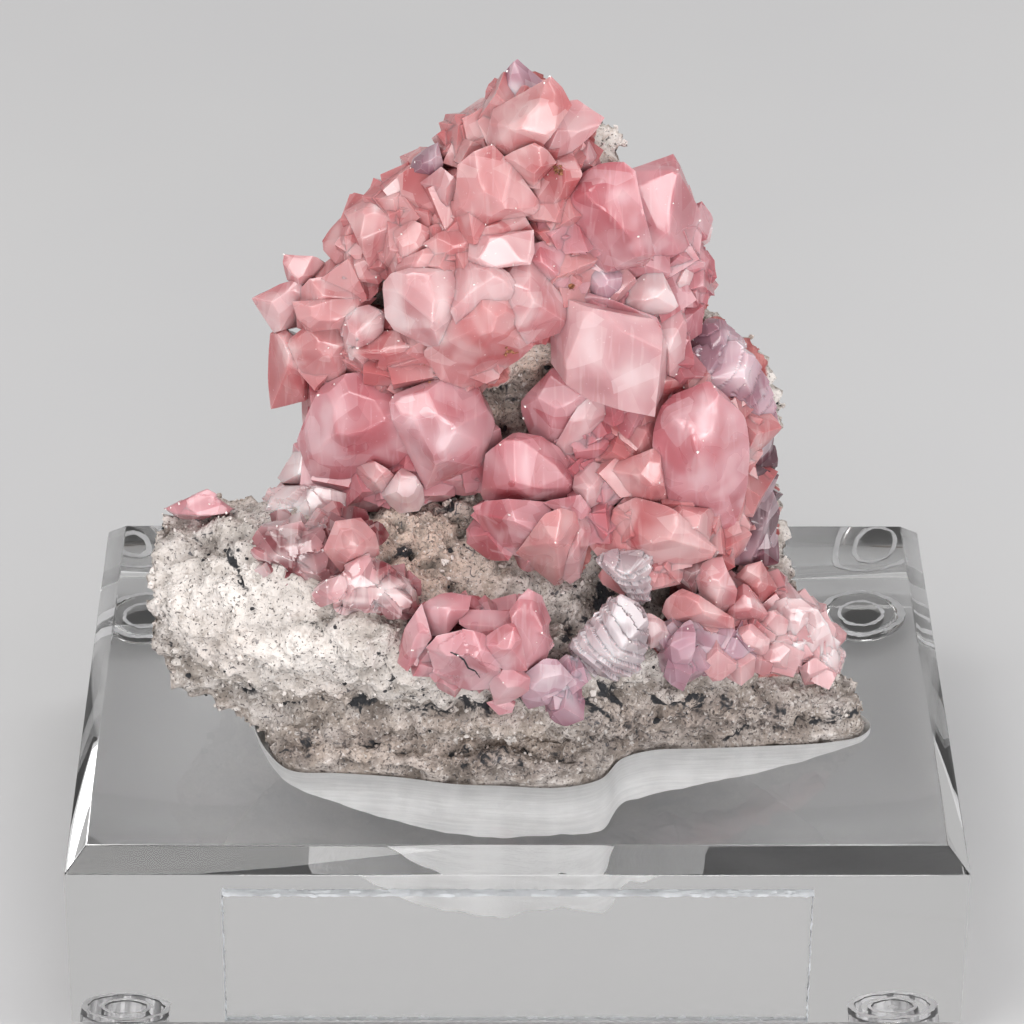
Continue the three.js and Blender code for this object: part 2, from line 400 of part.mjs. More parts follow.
const SPREAD = 1.06;           // a crystal is this much wider than listed, so that neighbours meet
const STAND_SHARE = 0.8;       // a listed stand of 1 is this many millimetres
const SEAT_LIFT = 1.8;         // and every corner stands out this much further
const ROOT_DEPTH = 3;          // how deep a crystal is rooted behind the rock's face
const ROOT_SHARE = 0.95;       // its root's size against the crystal's own
const LEANING_ROOT_SHARE = 0.7;
const ROOT_CORNERS = 5;        // about how many corners a root has
// Crystals that lean out past the rock's edge, and the sheet point that their root is centred on.
const ROOTS = {
  blade_high: [330, 280],
  blade_left: [325, 305],
  blade_low: [325, 360],
  right_knob: [676, 232],
  flank_lilac: [440, 172],
  lobe: [205, 512],
};

// ---------------------------------------------------------------- solids

/** A closed three.js geometry as a solid that can be joined and cut. */
function toSolid(geometry) {
  const bare = geometry.clone();
  bare.deleteAttribute('normal');
  bare.deleteAttribute('uv');
  const merged = mergeVertices(bare, 1e-4);
  const vertProperties = new Float32Array(merged.attributes.position.array);
  const triVerts = new Uint32Array(merged.index.array);
  return new wasm.Manifold(new wasm.Mesh({ numProp: 3, vertProperties, triVerts }));
}

/** A solid as a three.js geometry. */
function toGeometry(solid) {
  const mesh = solid.getMesh();
  const geometry = new THREE.BufferGeometry();
  geometry.setAttribute('position', new THREE.BufferAttribute(mesh.vertProperties, 3));
  geometry.setIndex(new THREE.BufferAttribute(mesh.triVerts, 1));
  const flat = geometry.toNonIndexed();
  flat.computeVertexNormals();
  return flat;
}

/** The largest connected piece of a solid, so that no loose chip is left by a cut. */
function largestPiece(solid) {
  return solid.decompose().reduce((best, piece) => (piece.volume() > best.volume() ? piece : best));
}

/** A closed skin over rings of points, listed from the lowest ring up, counter-clockwise. */
function loft(rings) {
  const count = rings[0].length;
  const points = rings.flat();
  const faces = [];
  for (let r = 0; r + 1 < rings.length; r++) {
    for (let i = 0; i < count; i++) {
      const a = r * count + i;
      const b = r * count + (i + 1) % count;
      faces.push(a, b, b + count, a, b + count, a + count);
    }
  }
  for (const [ring, start] of [[rings[0], 0], [rings.at(-1), (rings.length - 1) * count]]) {
    const middle = points.push(mean(ring)) - 1;
    for (let i = 0; i < count; i++) {
      const a = start + i;
      const b = start + (i + 1) % count;
      faces.push(...(start === 0 ? [b, a, middle] : [a, b, middle]));
    }
  }
  const geometry = new THREE.BufferGeometry().setFromPoints(points);
  geometry.setIndex(faces);
  return geometry;
}

function mean(points) {
  const sum = points.reduce((total, p) => total.add(p), new THREE.Vector3());
  return sum.divideScalar(points.length);
}

/** Points pushed away from their middle, by the same distance along each axis of their box. */
function grown(points, distance) {
  const box = new THREE.Box3().setFromPoints(points);
  const centre = box.getCenter(new THREE.Vector3());
  const half = box.getSize(new THREE.Vector3()).divideScalar(2);
  const scale = half.clone().addScalar(distance).divide(half);
  return points.map((p) => p.clone().sub(centre).multiply(scale).add(centre));
}

/** A skin whose shared corners are moved out along their normals. */
function moveOut(geometry, distance) {
  geometry.computeVertexNormals();
  const { position, normal } = geometry.attributes;
  for (let i = 0; i < position.count; i++) {
    const corner = new THREE.Vector3().fromBufferAttribute(position, i);
    corner.addScaledVector(new THREE.Vector3().fromBufferAttribute(normal, i), distance);
    position.setXYZ(i, corner.x, corner.y, corner.z);
  }
  return geometry;
}

// ---------------------------------------------------------------- holder

function blockSolid() {
  const corners = [];
  for (const sx of [-1, 1]) {
    for (const sy of [-1, 1]) {
      const x = sx * BLOCK_W / 2;
      const y = sy * BLOCK_D / 2;
      corners.push(new THREE.Vector3(x, y, 0), new THREE.Vector3(x, y, BLOCK_H - BEVEL));
      corners.push(new THREE.Vector3(x - sx * BEVEL, y - sy * BEVEL, BLOCK_H));
    }
  }
  return toSolid(new ConvexGeometry(corners));
}

/** The rim curve as points [x, y, depth]. */
function rimPoints() {
  const knots = POCKET_RIM.map((p) => new THREE.Vector3(...p));
  return new THREE.CatmullRomCurve3(knots, true, 'centripetal').getPoints(RIM_STEPS).slice(0, RIM_STEPS);
}

/** A vertical-walled body inside the rim, drawn in by inset, from the pocket's floor to top. */
function pocketSolid(inset, floorLift, top) {
  const rim = rimPoints();
  const middle = new THREE.Vector3(...POCKET_CENTRE);
  const walls = rim.map((p, i) => {
    const before = rim[(i + rim.length - 1) % rim.length];
    const after = rim[(i + 1) % rim.length];
    const inward = new THREE.Vector2(-(after.y - before.y), after.x - before.x).setLength(inset);
    return new THREE.Vector3(p.x + inward.x, p.y + inward.y, p.z);
  });
  const floor = walls.map((p) => new THREE.Vector3(p.x, p.y, BLOCK_H - p.z + floorLift));
  const shelf = walls.map((p) => new THREE.Vector3(
    THREE.MathUtils.lerp(p.x, middle.x, 0.4),
    THREE.MathUtils.lerp(p.y, middle.y, 0.4),
    BLOCK_H - THREE.MathUtils.lerp(p.z, middle.z, 0.55) + floorLift,
  ));
  const mouth = walls.map((p) => new THREE.Vector3(p.x, p.y, top));
  return toSolid(loft([shelf, floor, mouth]));
}

function acrylicBlock() {
  return blockSolid().subtract(pocketSolid(0, 0, BLOCK_H + 1));
}

function footGeometry() {
  const profile = [
    [0, -FOOT_H], [FOOT_FLAT_D / 2, -FOOT_H], [FOOT_D * 0.4, -FOOT_H * 0.78],
    [FOOT_D * 0.47, -FOOT_H * 0.4], [FOOT_D / 2, 0], [0, 0],
  ].map(([r, z]) => new THREE.Vector2(r, z));
  return new THREE.LatheGeometry(profile, 16).rotateX(Math.PI / 2);
}

// ---------------------------------------------------------------- stone

/** One row's closed ring: left edge, front stations, right edge, back stations. */
function rockRing([down, left, right, yLeft, front, yRight, yBack]) {
  const across = (share) => THREE.MathUtils.lerp(left, right, share);
  const ring = [at(left, down, yLeft)];
  front.forEach((y, i) => ring.push(at(across((i + 1) / 6), down, y)));
  ring.push(at(right, down, yRight));
  BACK_SHARE.forEach((reach, i) => {
    const share = 1 - (i + 1) / 6;
    const edge = THREE.MathUtils.lerp(yLeft, yRight, share);
    ring.push(at(across(share), down, THREE.MathUtils.lerp(edge, yBack, reach)));
  });
  return ring;
}

/** Depth y of the rock's face behind a sheet point. */
function rockFace(across, down) {
  const last = ROCK_ROWS.length - 1;
  const row = Math.min(last - 1, Math.max(0, ROCK_ROWS.findIndex((r) => r[0] > down) - 1));
  const [above, below] = [ROCK_ROWS[row], ROCK_ROWS[row + 1]];
  const mix = THREE.MathUtils.clamp((down - above[0]) / (below[0] - above[0]), 0, 1);
  const depth = ([, left, right, yLeft, front, yRight]) => {
    const stations = [yLeft, ...front, yRight];
    const share = THREE.MathUtils.clamp((across - left) / (right - left), 0, 1) * 6;
    const i = Math.min(5, Math.floor(share));
    return THREE.MathUtils.lerp(stations[i], stations[i + 1], share - i);
  };
  return THREE.MathUtils.lerp(depth(above), depth(below), mix);
}

function undercut(outline) {
  const corners = outline.flatMap(([x, z]) => [
    new THREE.Vector3(x, -BLOCK_D, z), new THREE.Vector3(x, BLOCK_D, z),
  ]);
  return toSolid(new ConvexGeometry(corners));
}

/** The rock, with its skin moved out by growth. */
function rockSolid(growth) {
  const skin = loft([...ROCK_ROWS].reverse().map(rockRing));
  let rock = toSolid(moveOut(skin, growth)).trimByPlane([0, 0, 1], BLOCK_H + GAP);
  for (const outline of UNDERCUTS) rock = rock.subtract(undercut(outline));
  return largestPiece(rock.add(pocketSolid(PLINTH_INSET, PLINTH_LIFT, PLINTH_TOP)));
}

// ---------------------------------------------------------------- crystals

/** A crystal's corner points: the ones that show, and its root inside the rock. */
function crystalPoints(name, corners) {
  const middle = [0, 1].map((k) => corners.reduce((sum, c) => sum + c[k], 0) / corners.length);
  const face = rockFace(...middle);
  const sized = (corner, centre, share, y) => at(
    centre[0] + (corner[0] - middle[0]) * share,
    centre[1] + (corner[1] - middle[1]) * share,
    y,
  );
  const leans = name in ROOTS;
  const step = Math.ceil(corners.length / ROOT_CORNERS);
  const front = corners.map((c) => sized(c, middle, SPREAD, face - c[2] * STAND_SHARE - SEAT_LIFT));
  const root = corners
    .filter((c, i) => i % step === 0)
    .map((c) => sized(c, ROOTS[name] ?? middle, leans ? LEANING_ROOT_SHARE : ROOT_SHARE, face + ROOT_DEPTH));
  return [...front, ...root];
}

/** The crystals of one group joined in one solid, each swollen by growth. */
function groupSolid(crystals, growth) {
  const solids = Object.entries(crystals).map(([name, corners]) => {
    const points = crystalPoints(name, corners);
    return toSolid(new ConvexGeometry(growth > 0 ? grown(points, growth) : points));
  });
  return wasm.Manifold.union(solids);
}

// ---------------------------------------------------------------- the model

const MATERIALS = {
  acrylic: { color: 0xe8eef0, roughness: 0.05, metalness: 0, transparent: true, opacity: 0.35 },
  rubber: { color: 0xeef2f3, roughness: 0.2, metalness: 0, transparent: true, opacity: 0.5 },
  rock: { color: 0xd8d2c6, roughness: 0.95, metalness: 0 },
  smithsonite: { color: 0xe29a9c, roughness: 0.35, metalness: 0 },
};

const model = new THREE.Group();
model.position.set(0, LABEL_T / 2, FOOT_H);

function addPiece(name, geometry, material, place = [0, 0, 0]) {
  const mesh = new THREE.Mesh(geometry, new THREE.MeshStandardMaterial(MATERIALS[material]));
  mesh.name = name;
  mesh.position.set(...place);
  model.add(mesh);
}

addPiece('acrylic_block', toGeometry(acrylicBlock()), 'acrylic');
for (const [name, [x, y]] of Object.entries(FOOT_PLACES)) {
  addPiece(name, footGeometry(), 'rubber', [x, y, 0]);
}
addPiece('label_plate', new THREE.BoxGeometry(LABEL_W, LABEL_T, LABEL_H), 'acrylic',
  [0, -(BLOCK_D + LABEL_T) / 2, LABEL_LIFT + LABEL_H / 2]);
addPiece('matrix_rock', toGeometry(rockSolid(0)), 'rock');
let taken = rockSolid(ROCK_GROWTH);
for (const [name, crystals] of Object.entries(CRYSTALS)) {
  addPiece(name, toGeometry(largestPiece(groupSolid(crystals, 0).subtract(taken))), 'smithsonite');
  taken = taken.add(groupSolid(crystals, CRYSTAL_GROWTH));
}

export default model;
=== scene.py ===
"""The looks of a smithsonite specimen: pink crystals on pale rock, in a clear acrylic block.

The stone is laid out on a sheet square to one line of sight, as its solids are: a sheet point is
(across, down), and it becomes a point of the stone where its sight line reaches a given depth.
Lengths are in millimetres until mm() or at() turns them into the frame's metres.
"""

import math
import random

import bmesh
import bpy
import numpy as np
from mathutils import Matrix, Vector, noise
from mathutils.bvhtree import BVHTree


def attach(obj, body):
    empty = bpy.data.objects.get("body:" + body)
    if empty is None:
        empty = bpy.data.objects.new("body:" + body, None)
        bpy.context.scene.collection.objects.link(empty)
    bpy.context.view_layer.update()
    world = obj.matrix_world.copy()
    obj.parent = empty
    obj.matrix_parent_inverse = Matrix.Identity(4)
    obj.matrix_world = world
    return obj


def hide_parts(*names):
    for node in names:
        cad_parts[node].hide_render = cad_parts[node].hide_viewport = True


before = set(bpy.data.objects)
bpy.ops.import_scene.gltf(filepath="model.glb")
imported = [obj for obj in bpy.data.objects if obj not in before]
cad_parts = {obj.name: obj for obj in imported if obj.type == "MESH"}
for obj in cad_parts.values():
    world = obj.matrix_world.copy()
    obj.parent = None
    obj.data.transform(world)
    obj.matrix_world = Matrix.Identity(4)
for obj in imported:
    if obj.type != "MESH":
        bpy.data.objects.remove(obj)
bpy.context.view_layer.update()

# ---------------------------------------------------------------- driving dimensions

MM = 0.001
TINY = 1e-9
BLOCK_W = 84.0
BLOCK_D = 61.0
BLOCK_H = 19.05
BEVEL = 2.0
EDGE_ROUND = 0.12              # how far the block's polished edges are eased
FOOT_D = 8.4
FOOT_H = 2.2
FOOT_FLAT_D = 4.6
LABEL_W = 55.0
LABEL_H = 14.8
LABEL_T = 1.2
LABEL_LIFT = 0.9
BLOCK_MIDDLE = Vector((0, LABEL_T / 2, FOOT_H))   # the block's underside in the frame

# ---------------------------------------------------------------- layout sheet

EYE = Vector((-4.2, -381.4, 268.2))
SIGHT_DOWN = math.radians(31.12)
SIGHT_YAW = math.radians(0.57)
SHEET_ROLL = math.radians(0.35)
SHEET_MIDDLE = 512
SHEET_DISTANCE = 4647
SENSOR = 36.0
PICTURE = 1024

SIGHT = Vector((
    math.sin(SIGHT_YAW) * math.cos(SIGHT_DOWN),
    math.cos(SIGHT_YAW) * math.cos(SIGHT_DOWN),
    -math.sin(SIGHT_DOWN),
))
LEVEL = Vector((math.cos(SIGHT_YAW), -math.sin(SIGHT_YAW), 0))
SHEET_ACROSS = Matrix.Rotation(-SHEET_ROLL, 3, SIGHT) @ LEVEL
SHEET_UP = SHEET_ACROSS.cross(SIGHT)


def mm(x, y, z):
    """A point given from the middle of the block's underside, in the frame's metres."""
    return (Vector((x, y, z)) + BLOCK_MIDDLE) * MM


def sheet_way(across, down):
    """The direction of a sheet point's sight line."""
    return (SIGHT + SHEET_ACROSS * ((across - SHEET_MIDDLE) / SHEET_DISTANCE)
            + SHEET_UP * ((SHEET_MIDDLE - down) / SHEET_DISTANCE))


def at(across, down, y):
    """The point where a sheet point's sight line reaches depth y."""
    way = sheet_way(across, down)
    return mm(*(EYE + way * ((y - EYE.y) / way.y)))


def on_sheet(points):
    """Frame points as an array of (across, down)."""
    way = np.asarray(points) / MM - np.array(EYE + BLOCK_MIDDLE)
    depth = way @ np.array(SIGHT)
    across = SHEET_MIDDLE + SHEET_DISTANCE * (way @ np.array(SHEET_ACROSS)) / depth
    down = SHEET_MIDDLE - SHEET_DISTANCE * (way @ np.array(SHEET_UP)) / depth
    return np.stack([across, down], axis=1)


def seat(tree, across, down):
    """Where a sheet point's sight line first meets a surface: (place, normal), or (None, None)."""
    place, normal, _, _ = tree.ray_cast((EYE + BLOCK_MIDDLE) * MM, sheet_way(across, down).normalized())
    return place, normal


# ---------------------------------------------------------------- small tools

def new_object(name, mesh):
    obj = bpy.data.objects.new(name, mesh)
    bpy.context.scene.collection.objects.link(obj)
    return obj


def mesh_of(name, points, faces):
    mesh = bpy.data.meshes.new(name)
    mesh.from_pydata([tuple(p) for p in points], [], faces)
    mesh.update()
    return mesh


def bake_modifiers(obj):
    """Replaces an object's mesh by what its modifiers make of it."""
    bpy.context.view_layer.update()
    graph = bpy.context.evaluated_depsgraph_get()
    mesh = bpy.data.meshes.new_from_object(obj.evaluated_get(graph))
    obj.modifiers.clear()
    obj.data = mesh
    return mesh


def vertex_array(mesh):
    """A mesh's points, one to a row."""
    found = np.empty(len(mesh.vertices) * 3, np.float32)
    mesh.vertices.foreach_get("co", found)
    return found.reshape(-1, 3).astype(float)


def normal_array(mesh):
    """The way out at each of a mesh's points, one to a row."""
    found = np.empty(len(mesh.vertices) * 3, np.float32)
    mesh.vertex_normals.foreach_get("vector", found)
    return found.reshape(-1, 3).astype(float)


def set_vertices(mesh, points):
    mesh.vertices.foreach_set("co", np.asarray(points, np.float32).ravel())
    mesh.update()


def set_value(mesh, name, values):
    """A number for each vertex, that a material reads by name."""
    attribute = mesh.attributes.new(name, "FLOAT", "POINT")
    attribute.data.foreach_set("value", np.asarray(values, np.float32))


def noise_at(points, scale, octaves=3, offset=(0, 0, 0)):
    """Fractal noise, about -1 to 1, at points in millimetres; scale is its largest lump."""
    shift = Vector(offset)
    return np.array([
        noise.fractal(Vector(p) / scale + shift, 1.0, 2.0, octaves, noise_basis="PERLIN_ORIGINAL")
        for p in points
    ])


def line_distance(spots, line):
    """The distance of each sheet point from a polyline of sheet points."""
    best = np.full(len(spots), np.inf)
    for a, b in zip(line, line[1:]):
        a = np.array(a, float)
        b = np.array(b, float)
        along = np.clip(((spots - a) @ (b - a)) / max((b - a) @ (b - a), TINY), 0, 1)
        best = np.minimum(best, np.linalg.norm(spots - (a + along[:, None] * (b - a)), axis=1))
    return best


def spot_strength(spots, across, down, wide, high):
    """1 at the middle of an oval on the sheet, falling smoothly towards nothing past its edge."""
    reach = ((spots[:, 0] - across) / wide) ** 2 + ((spots[:, 1] - down) / high) ** 2
    return np.exp(-reach)


def smooth_by_angle(mesh, degrees):
    mesh.shade_smooth()
    mesh.set_sharp_from_angle(angle=math.radians(degrees))


def knob_shape():
    """A grain before it is made uneven: its points, and its faces as their numbers."""
    knob = bmesh.new()
    bmesh.ops.create_icosphere(knob, subdivisions=1, radius=1)
    points = np.array([vert.co[:] for vert in knob.verts])
    faces = [tuple(vert.index for vert in face.verts) for face in knob.faces]
    knob.free()
    return points, faces


def circle(sides):
    """The angles of evenly spaced points round a circle."""
    return [2 * math.pi * k / sides for k in range(sides)]


def finish_piece(obj, material_slot, *nodes):
    """Rides a finished piece on the one body and has it stand for its nodes."""
    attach(obj, "root")
    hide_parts(*nodes)
    return obj


# ---------------------------------------------------------------- material tools

def srgb(red, green, blue):
    """A display colour, 0 to 255, as the linear colour that shaders take."""
    return tuple(((c / 255 + 0.055) / 1.055) ** 2.4 if c > 10 else c / 255 / 12.92
                 for c in (red, green, blue)) + (1.0,)


# A colour mix node's sockets, by number, since its colour sockets share their names with others.
MIX_FACTOR = 0
MIX_A = 6
MIX_B = 7
MIX_RESULT = 2


class Shader:
    """A material's node tree: each call adds a node, and a socket given as a value is linked."""

    def __init__(self, name):
        self.material = bpy.data.materials.new(name)
        self.material.use_nodes = True
        self.tree = self.material.node_tree
        self.tree.nodes.clear()
        self.out = self.tree.nodes.new("ShaderNodeOutputMaterial")

    def node(self, kind, settings=None, **sockets):
        made = self.tree.nodes.new("ShaderNode" + kind)
        for key, value in (settings or {}).items():
            setattr(made, key, value)
        for key, value in sockets.items():
            self.fill(made.inputs[key.replace("_", " ")], value)
        return made

    def fill(self, socket, value):
        if isinstance(value, bpy.types.NodeSocket):
            self.tree.links.new(value, socket)
        else:
            socket.default_value = value

    def value(self, name):
        return self.node("Attribute", {"attribute_name": name}).outputs["Fac"]

    def place(self, scale=(1, 1, 1), turn=(0, 0, 0)):
        """The piece's own coordinates in millimetres, stretched by scale."""
        here = self.node("TexCoord").outputs["Object"]
        size = tuple(s / MM for s in scale)
        return self.node("Mapping", Vector=here, Scale=size, Rotation=turn).outputs["Vector"]

    def noise(self, where, lump, detail=4, rough=0.55, twist=0.0):
        return self.node("TexNoise", Vector=where, Scale=1 / lump, Detail=detail,
                         Roughness=rough, Distortion=twist).outputs["Fac"]

    def cells(self, where, lump, output="Distance"):
        return self.node("TexVoronoi", Vector=where, Scale=1 / lump).outputs[output]

    def ramp(self, value, low, high, start=0.0, end=1.0):
        """value's span from low to high, smoothly, as start to end."""
        made = self.node("MapRange", {"interpolation_type": "SMOOTHSTEP"}, Value=value)
        for key, number in zip(("From Min", "From Max", "To Min", "To Max"), (low, high, start, end)):
            self.fill(made.inputs[key], number)
        return made.outputs["Result"]

    def math(self, operation, a, b=0.0):
        made = self.tree.nodes.new("ShaderNodeMath")
        made.operation = operation
        self.fill(made.inputs[0], a)
        self.fill(made.inputs[1], b)
        return made.outputs[0]

    def times(self, a, b):
        return self.math("MULTIPLY", a, b)

    def plus(self, a, b):
        return self.math("ADD", a, b)

    def mix(self, share, a, b):
        """Colour b over colour a, by share."""
        made = self.node("Mix", {"data_type": "RGBA"})
        self.fill(made.inputs[MIX_FACTOR], share)
        self.fill(made.inputs[MIX_A], a)
        self.fill(made.inputs[MIX_B], b)
        return made.outputs[MIX_RESULT]

    def tint(self, tone, *layers):
        """Colours laid over a tone one after another, each with its share."""
        for share, colour in layers:
            tone = self.mix(share, tone, srgb(*colour))
        return tone

    def bump(self, height, strength, distance):
        made = self.node("Bump", Height=height, Strength=strength, Distance=distance * MM)
        return made.outputs["Normal"]

    def surface(self, **sockets):
        made = self.node("BsdfPrincipled", **sockets)
        self.tree.links.new(made.outputs[0], self.out.inputs["Surface"])

    def absorb(self, colour, density):
        made = self.node("VolumeAbsorption", Color=colour, Density=density)
        self.tree.links.new(made.outputs[0], self.out.inputs["Volume"])


def grain_material(name, low, high, lump, octaves, rough, bump):
    """Loose grains of one mineral, between two colours."""
    s = Shader(name)
    grain = s.noise(s.place(), lump, octaves)
    s.surface(Base_Color=s.mix(s.ramp(grain, 0.4, 0.6), srgb(*low), srgb(*high)), Roughness=rough,
              Normal=s.bump(grain, *bump))
    return s.material



# ---------------------------------------------------------------- acrylic block, label and feet

# The pocket's rim, counter-clockwise from above: (x, y, depth of the wall there).
POCKET_RIM = [
    (-25.1, -9.1, 1.2), (-23.7, -13.2, 2), (-21.5, -16.2, 3.6), (-16.7, -16.7, 7.4),
    (-11, -17.4, 10.6), (-6, -18.5, 11.4), (-1.6, -18.8, 11.7), (4.1, -19.1, 10.8),
    (7.9, -17.7, 11.8), (10.1, -14.2, 11), (13, -12.8, 11), (17.6, -12.5, 9),
    (23.4, -12.1, 6.5), (30.1, -11.4, 2.7), (33.3, -10.2, 1.5), (34.2, -8.2, 1.5),
    (31.5, -4.5, 3), (25, 0, 7), (19, 5, 9), (12, 9.2, 10), (3, 11, 11), (-8, 10.5, 11),
    (-17, 8, 9), (-23, 2, 5), (-25.6, -4, 2),
]
POCKET_CENTRE = (3, -4, 12)
RIM_STEPS = 260
WALL_ROWS = 14
WALL_GROOVE = 0.04             # how far the grinding marks stand out of the pocket's wall
FOOT_PLACES = {
    "foot_front_left": (-36.7, -25.5),
    "foot_front_right": (35.4, -25.2),
    "foot_back_right": (35.5, 24.1),
    "foot_back_left": (-37, 23.6),
}
AIR = 0.04                     # air left between the block and what is stuck to it
GLUE_LOW = 0.02                # the adhesive film under a bumper, inside the acrylic's underside
GLUE_HIGH = 0.07
GLUE_RINGS = ((1.72, 1.97), (0.96, 1.12))      # inner and outer edges, in quarters of FOOT_D
FOOT_SIDES = 72
# A bumper's outline from its flat up: (radius in quarters of FOOT_D, height, raggedness). Its flat
# is given against FOOT_FLAT_D instead, where FLAT_EDGE stands for the flat's edge.
FOOT_PROFILE = [
    (0.6, 0, 0), (0.98, 0, 0), (1.06, 0.03, 0), (1.45, 0.34, 0), (1.68, 0.75, 0), (1.84, 1.2, 0),
    (1.95, 1.7, 0), (1.99, FOOT_H - AIR - 0.12, 0), (1.96, FOOT_H - AIR, 0.01),
    (1.72, FOOT_H - AIR, 0.05), (1.0, FOOT_H - AIR, 0),
]
FLAT_EDGE = 1.06
FLAT_TOP = 0.1                 # the profile's points below this belong to the flat
LABEL_STEP = 0.35              # between two points along the label's sawn edge
LABEL_ROWS = 6                 # rows of points through its thickness
CHIP_SIZE = 0.7                # the lumps that the saw left, across and deep
CHIP_DEPTH = 0.28
CHIP_JITTER = 0.06
LABEL_EASED = 0.10             # how far the first and last rows are drawn in
LABEL_SIDES = [((-1, -1), (1, -1)), ((1, -1), (1, 1)), ((1, 1), (-1, 1)), ((-1, 1), (-1, -1))]


def rim_curve():
    """The pocket's rim as a smooth loop through its knots: rows of x, y, depth."""
    knots = np.array(POCKET_RIM, float)
    count = len(knots)
    loop = []
    for step in range(RIM_STEPS):
        here = count * step / RIM_STEPS
        i = int(here)
        w = here - i
        a, b, c, d = (knots[(i + k - 1) % count] for k in range(4))
        ab, bc, cd = (math.sqrt(np.linalg.norm(q - p)) for p, q in ((a, b), (b, c), (c, d)))
        leave = ((b - a) / ab - (c - a) / (ab + bc) + (c - b) / bc) * bc
        reach = ((c - b) / bc - (d - b) / (bc + cd) + (d - c) / cd) * bc
        loop.append((2 * w**3 - 3 * w**2 + 1) * b + (w**3 - 2 * w**2 + w) * leave
                    + (3 * w**2 - 2 * w**3) * c + (w**3 - w**2) * reach)
    return np.array(loop)


def rings_to_mesh(name, rings, cap_low=True, cap_high=True):
    """A skin over rings of points, listed from the lowest up, counter-clockwise from above."""
    count = len(rings[0])
    points = [p for ring in rings for p in ring]
    faces = []
    for r in range(len(rings) - 1):
        for i in range(count):
            a = r * count + i
            b = r * count + (i + 1) % count
            faces.append((a, b, b + count, a + count))
    if cap_low:
        faces.append(tuple(reversed(range(count))))
    if cap_high:
        faces.append(tuple(range((len(rings) - 1) * count, len(rings) * count)))
    return mesh_of(name, points, faces)


def pocket_cutter():
    """The body ground out of the block: a flat-ish floor and a grooved upright wall."""
    rim = rim_curve()
    centre = np.array(POCKET_CENTRE, float)
    inward = centre[:2] - rim[:, :2]
    inward /= np.linalg.norm(inward, axis=1)[:, None]
    scallop = noise_at([(x, y, 0) for x, y, _ in rim], 2.4, 2)
    depth = rim[:, 2] + 0.35 * scallop
    rings = []
    for share in (0.75, 0.4, 0.2, 0.06):
        flat = rim[:, :2] + (centre[:2] - rim[:, :2]) * share
        low = depth + (centre[2] - depth) * min(1, share * 1.35)
        rough = noise_at([(x, y, 5) for x, y in flat], 3, 3) * 0.15
        rings.append([mm(x, y, BLOCK_H - z + b) for (x, y), z, b in zip(flat, low, rough)])
    for row in range(WALL_ROWS + 1):
        share = row / WALL_ROWS
        height = BLOCK_H - depth * (1 - share)
        groove = noise_at([(x * 0.5, y * 0.5, z * 3) for (x, y, _), z in zip(rim, height)], 1.1, 3)
        fade = min(1, (1 - share) * 5)
        wall = rim[:, :2] + inward * (groove * WALL_GROOVE * fade)[:, None]
        rings.append([mm(x, y, z) for (x, y), z in zip(wall, height)])
    rings.append([mm(x, y, BLOCK_H + 1) for x, y, _ in rim])
    return rings_to_mesh("pocket", rings)


def block_mesh():
    """The block's outside: a box with a 45 degree strip round its top face."""
    outline = [(-1, -1), (1, -1), (1, 1), (-1, 1)]
    levels = [(0, 0), (BLOCK_H - BEVEL, 0), (BLOCK_H, BEVEL)]
    rings = [[mm(sx * (BLOCK_W / 2 - inset), sy * (BLOCK_D / 2 - inset), z) for sx, sy in outline]
             for z, inset in levels]
    mesh = rings_to_mesh("acrylic_block.solid", rings)
    bm = bmesh.new()
    bm.from_mesh(mesh)
    bmesh.ops.bevel(bm, geom=list(bm.edges), offset=EDGE_ROUND * MM, segments=2, profile=0.5,
                    affect="EDGES", clamp_overlap=True)
    bm.to_mesh(mesh)
    bm.free()
    return mesh


def build_block(clear, frosted):
    block = new_object("acrylic_block.solid", block_mesh())
    cutter = new_object("pocket", pocket_cutter())
    block.data.materials.append(clear)
    cutter.data.materials.append(frosted)
    cut = block.modifiers.new("pocket", "BOOLEAN")
    cut.operation = "DIFFERENCE"
    cut.solver = "EXACT"
    cut.object = cutter
    cut.material_mode = "TRANSFER"
    bake_modifiers(block)
    bpy.data.objects.remove(cutter)
    smooth_by_angle(block.data, 28)
    return finish_piece(block, "acrylic", "acrylic_block")


def label_outline():
    """Points round the label from its middle, each with the way out of its edge."""
    outline = []
    for (x0, z0), (x1, z1) in LABEL_SIDES:
        length = LABEL_W if x0 != x1 else LABEL_H
        steps = int(length / LABEL_STEP)
        for k in range(steps):
            share = k / steps
            outline.append(((x0 + (x1 - x0) * share) * LABEL_W / 2, (z0 + (z1 - z0) * share) * LABEL_H / 2,
                            x0 if x0 == x1 else 0, z0 if z0 == z1 else 0))
    return outline


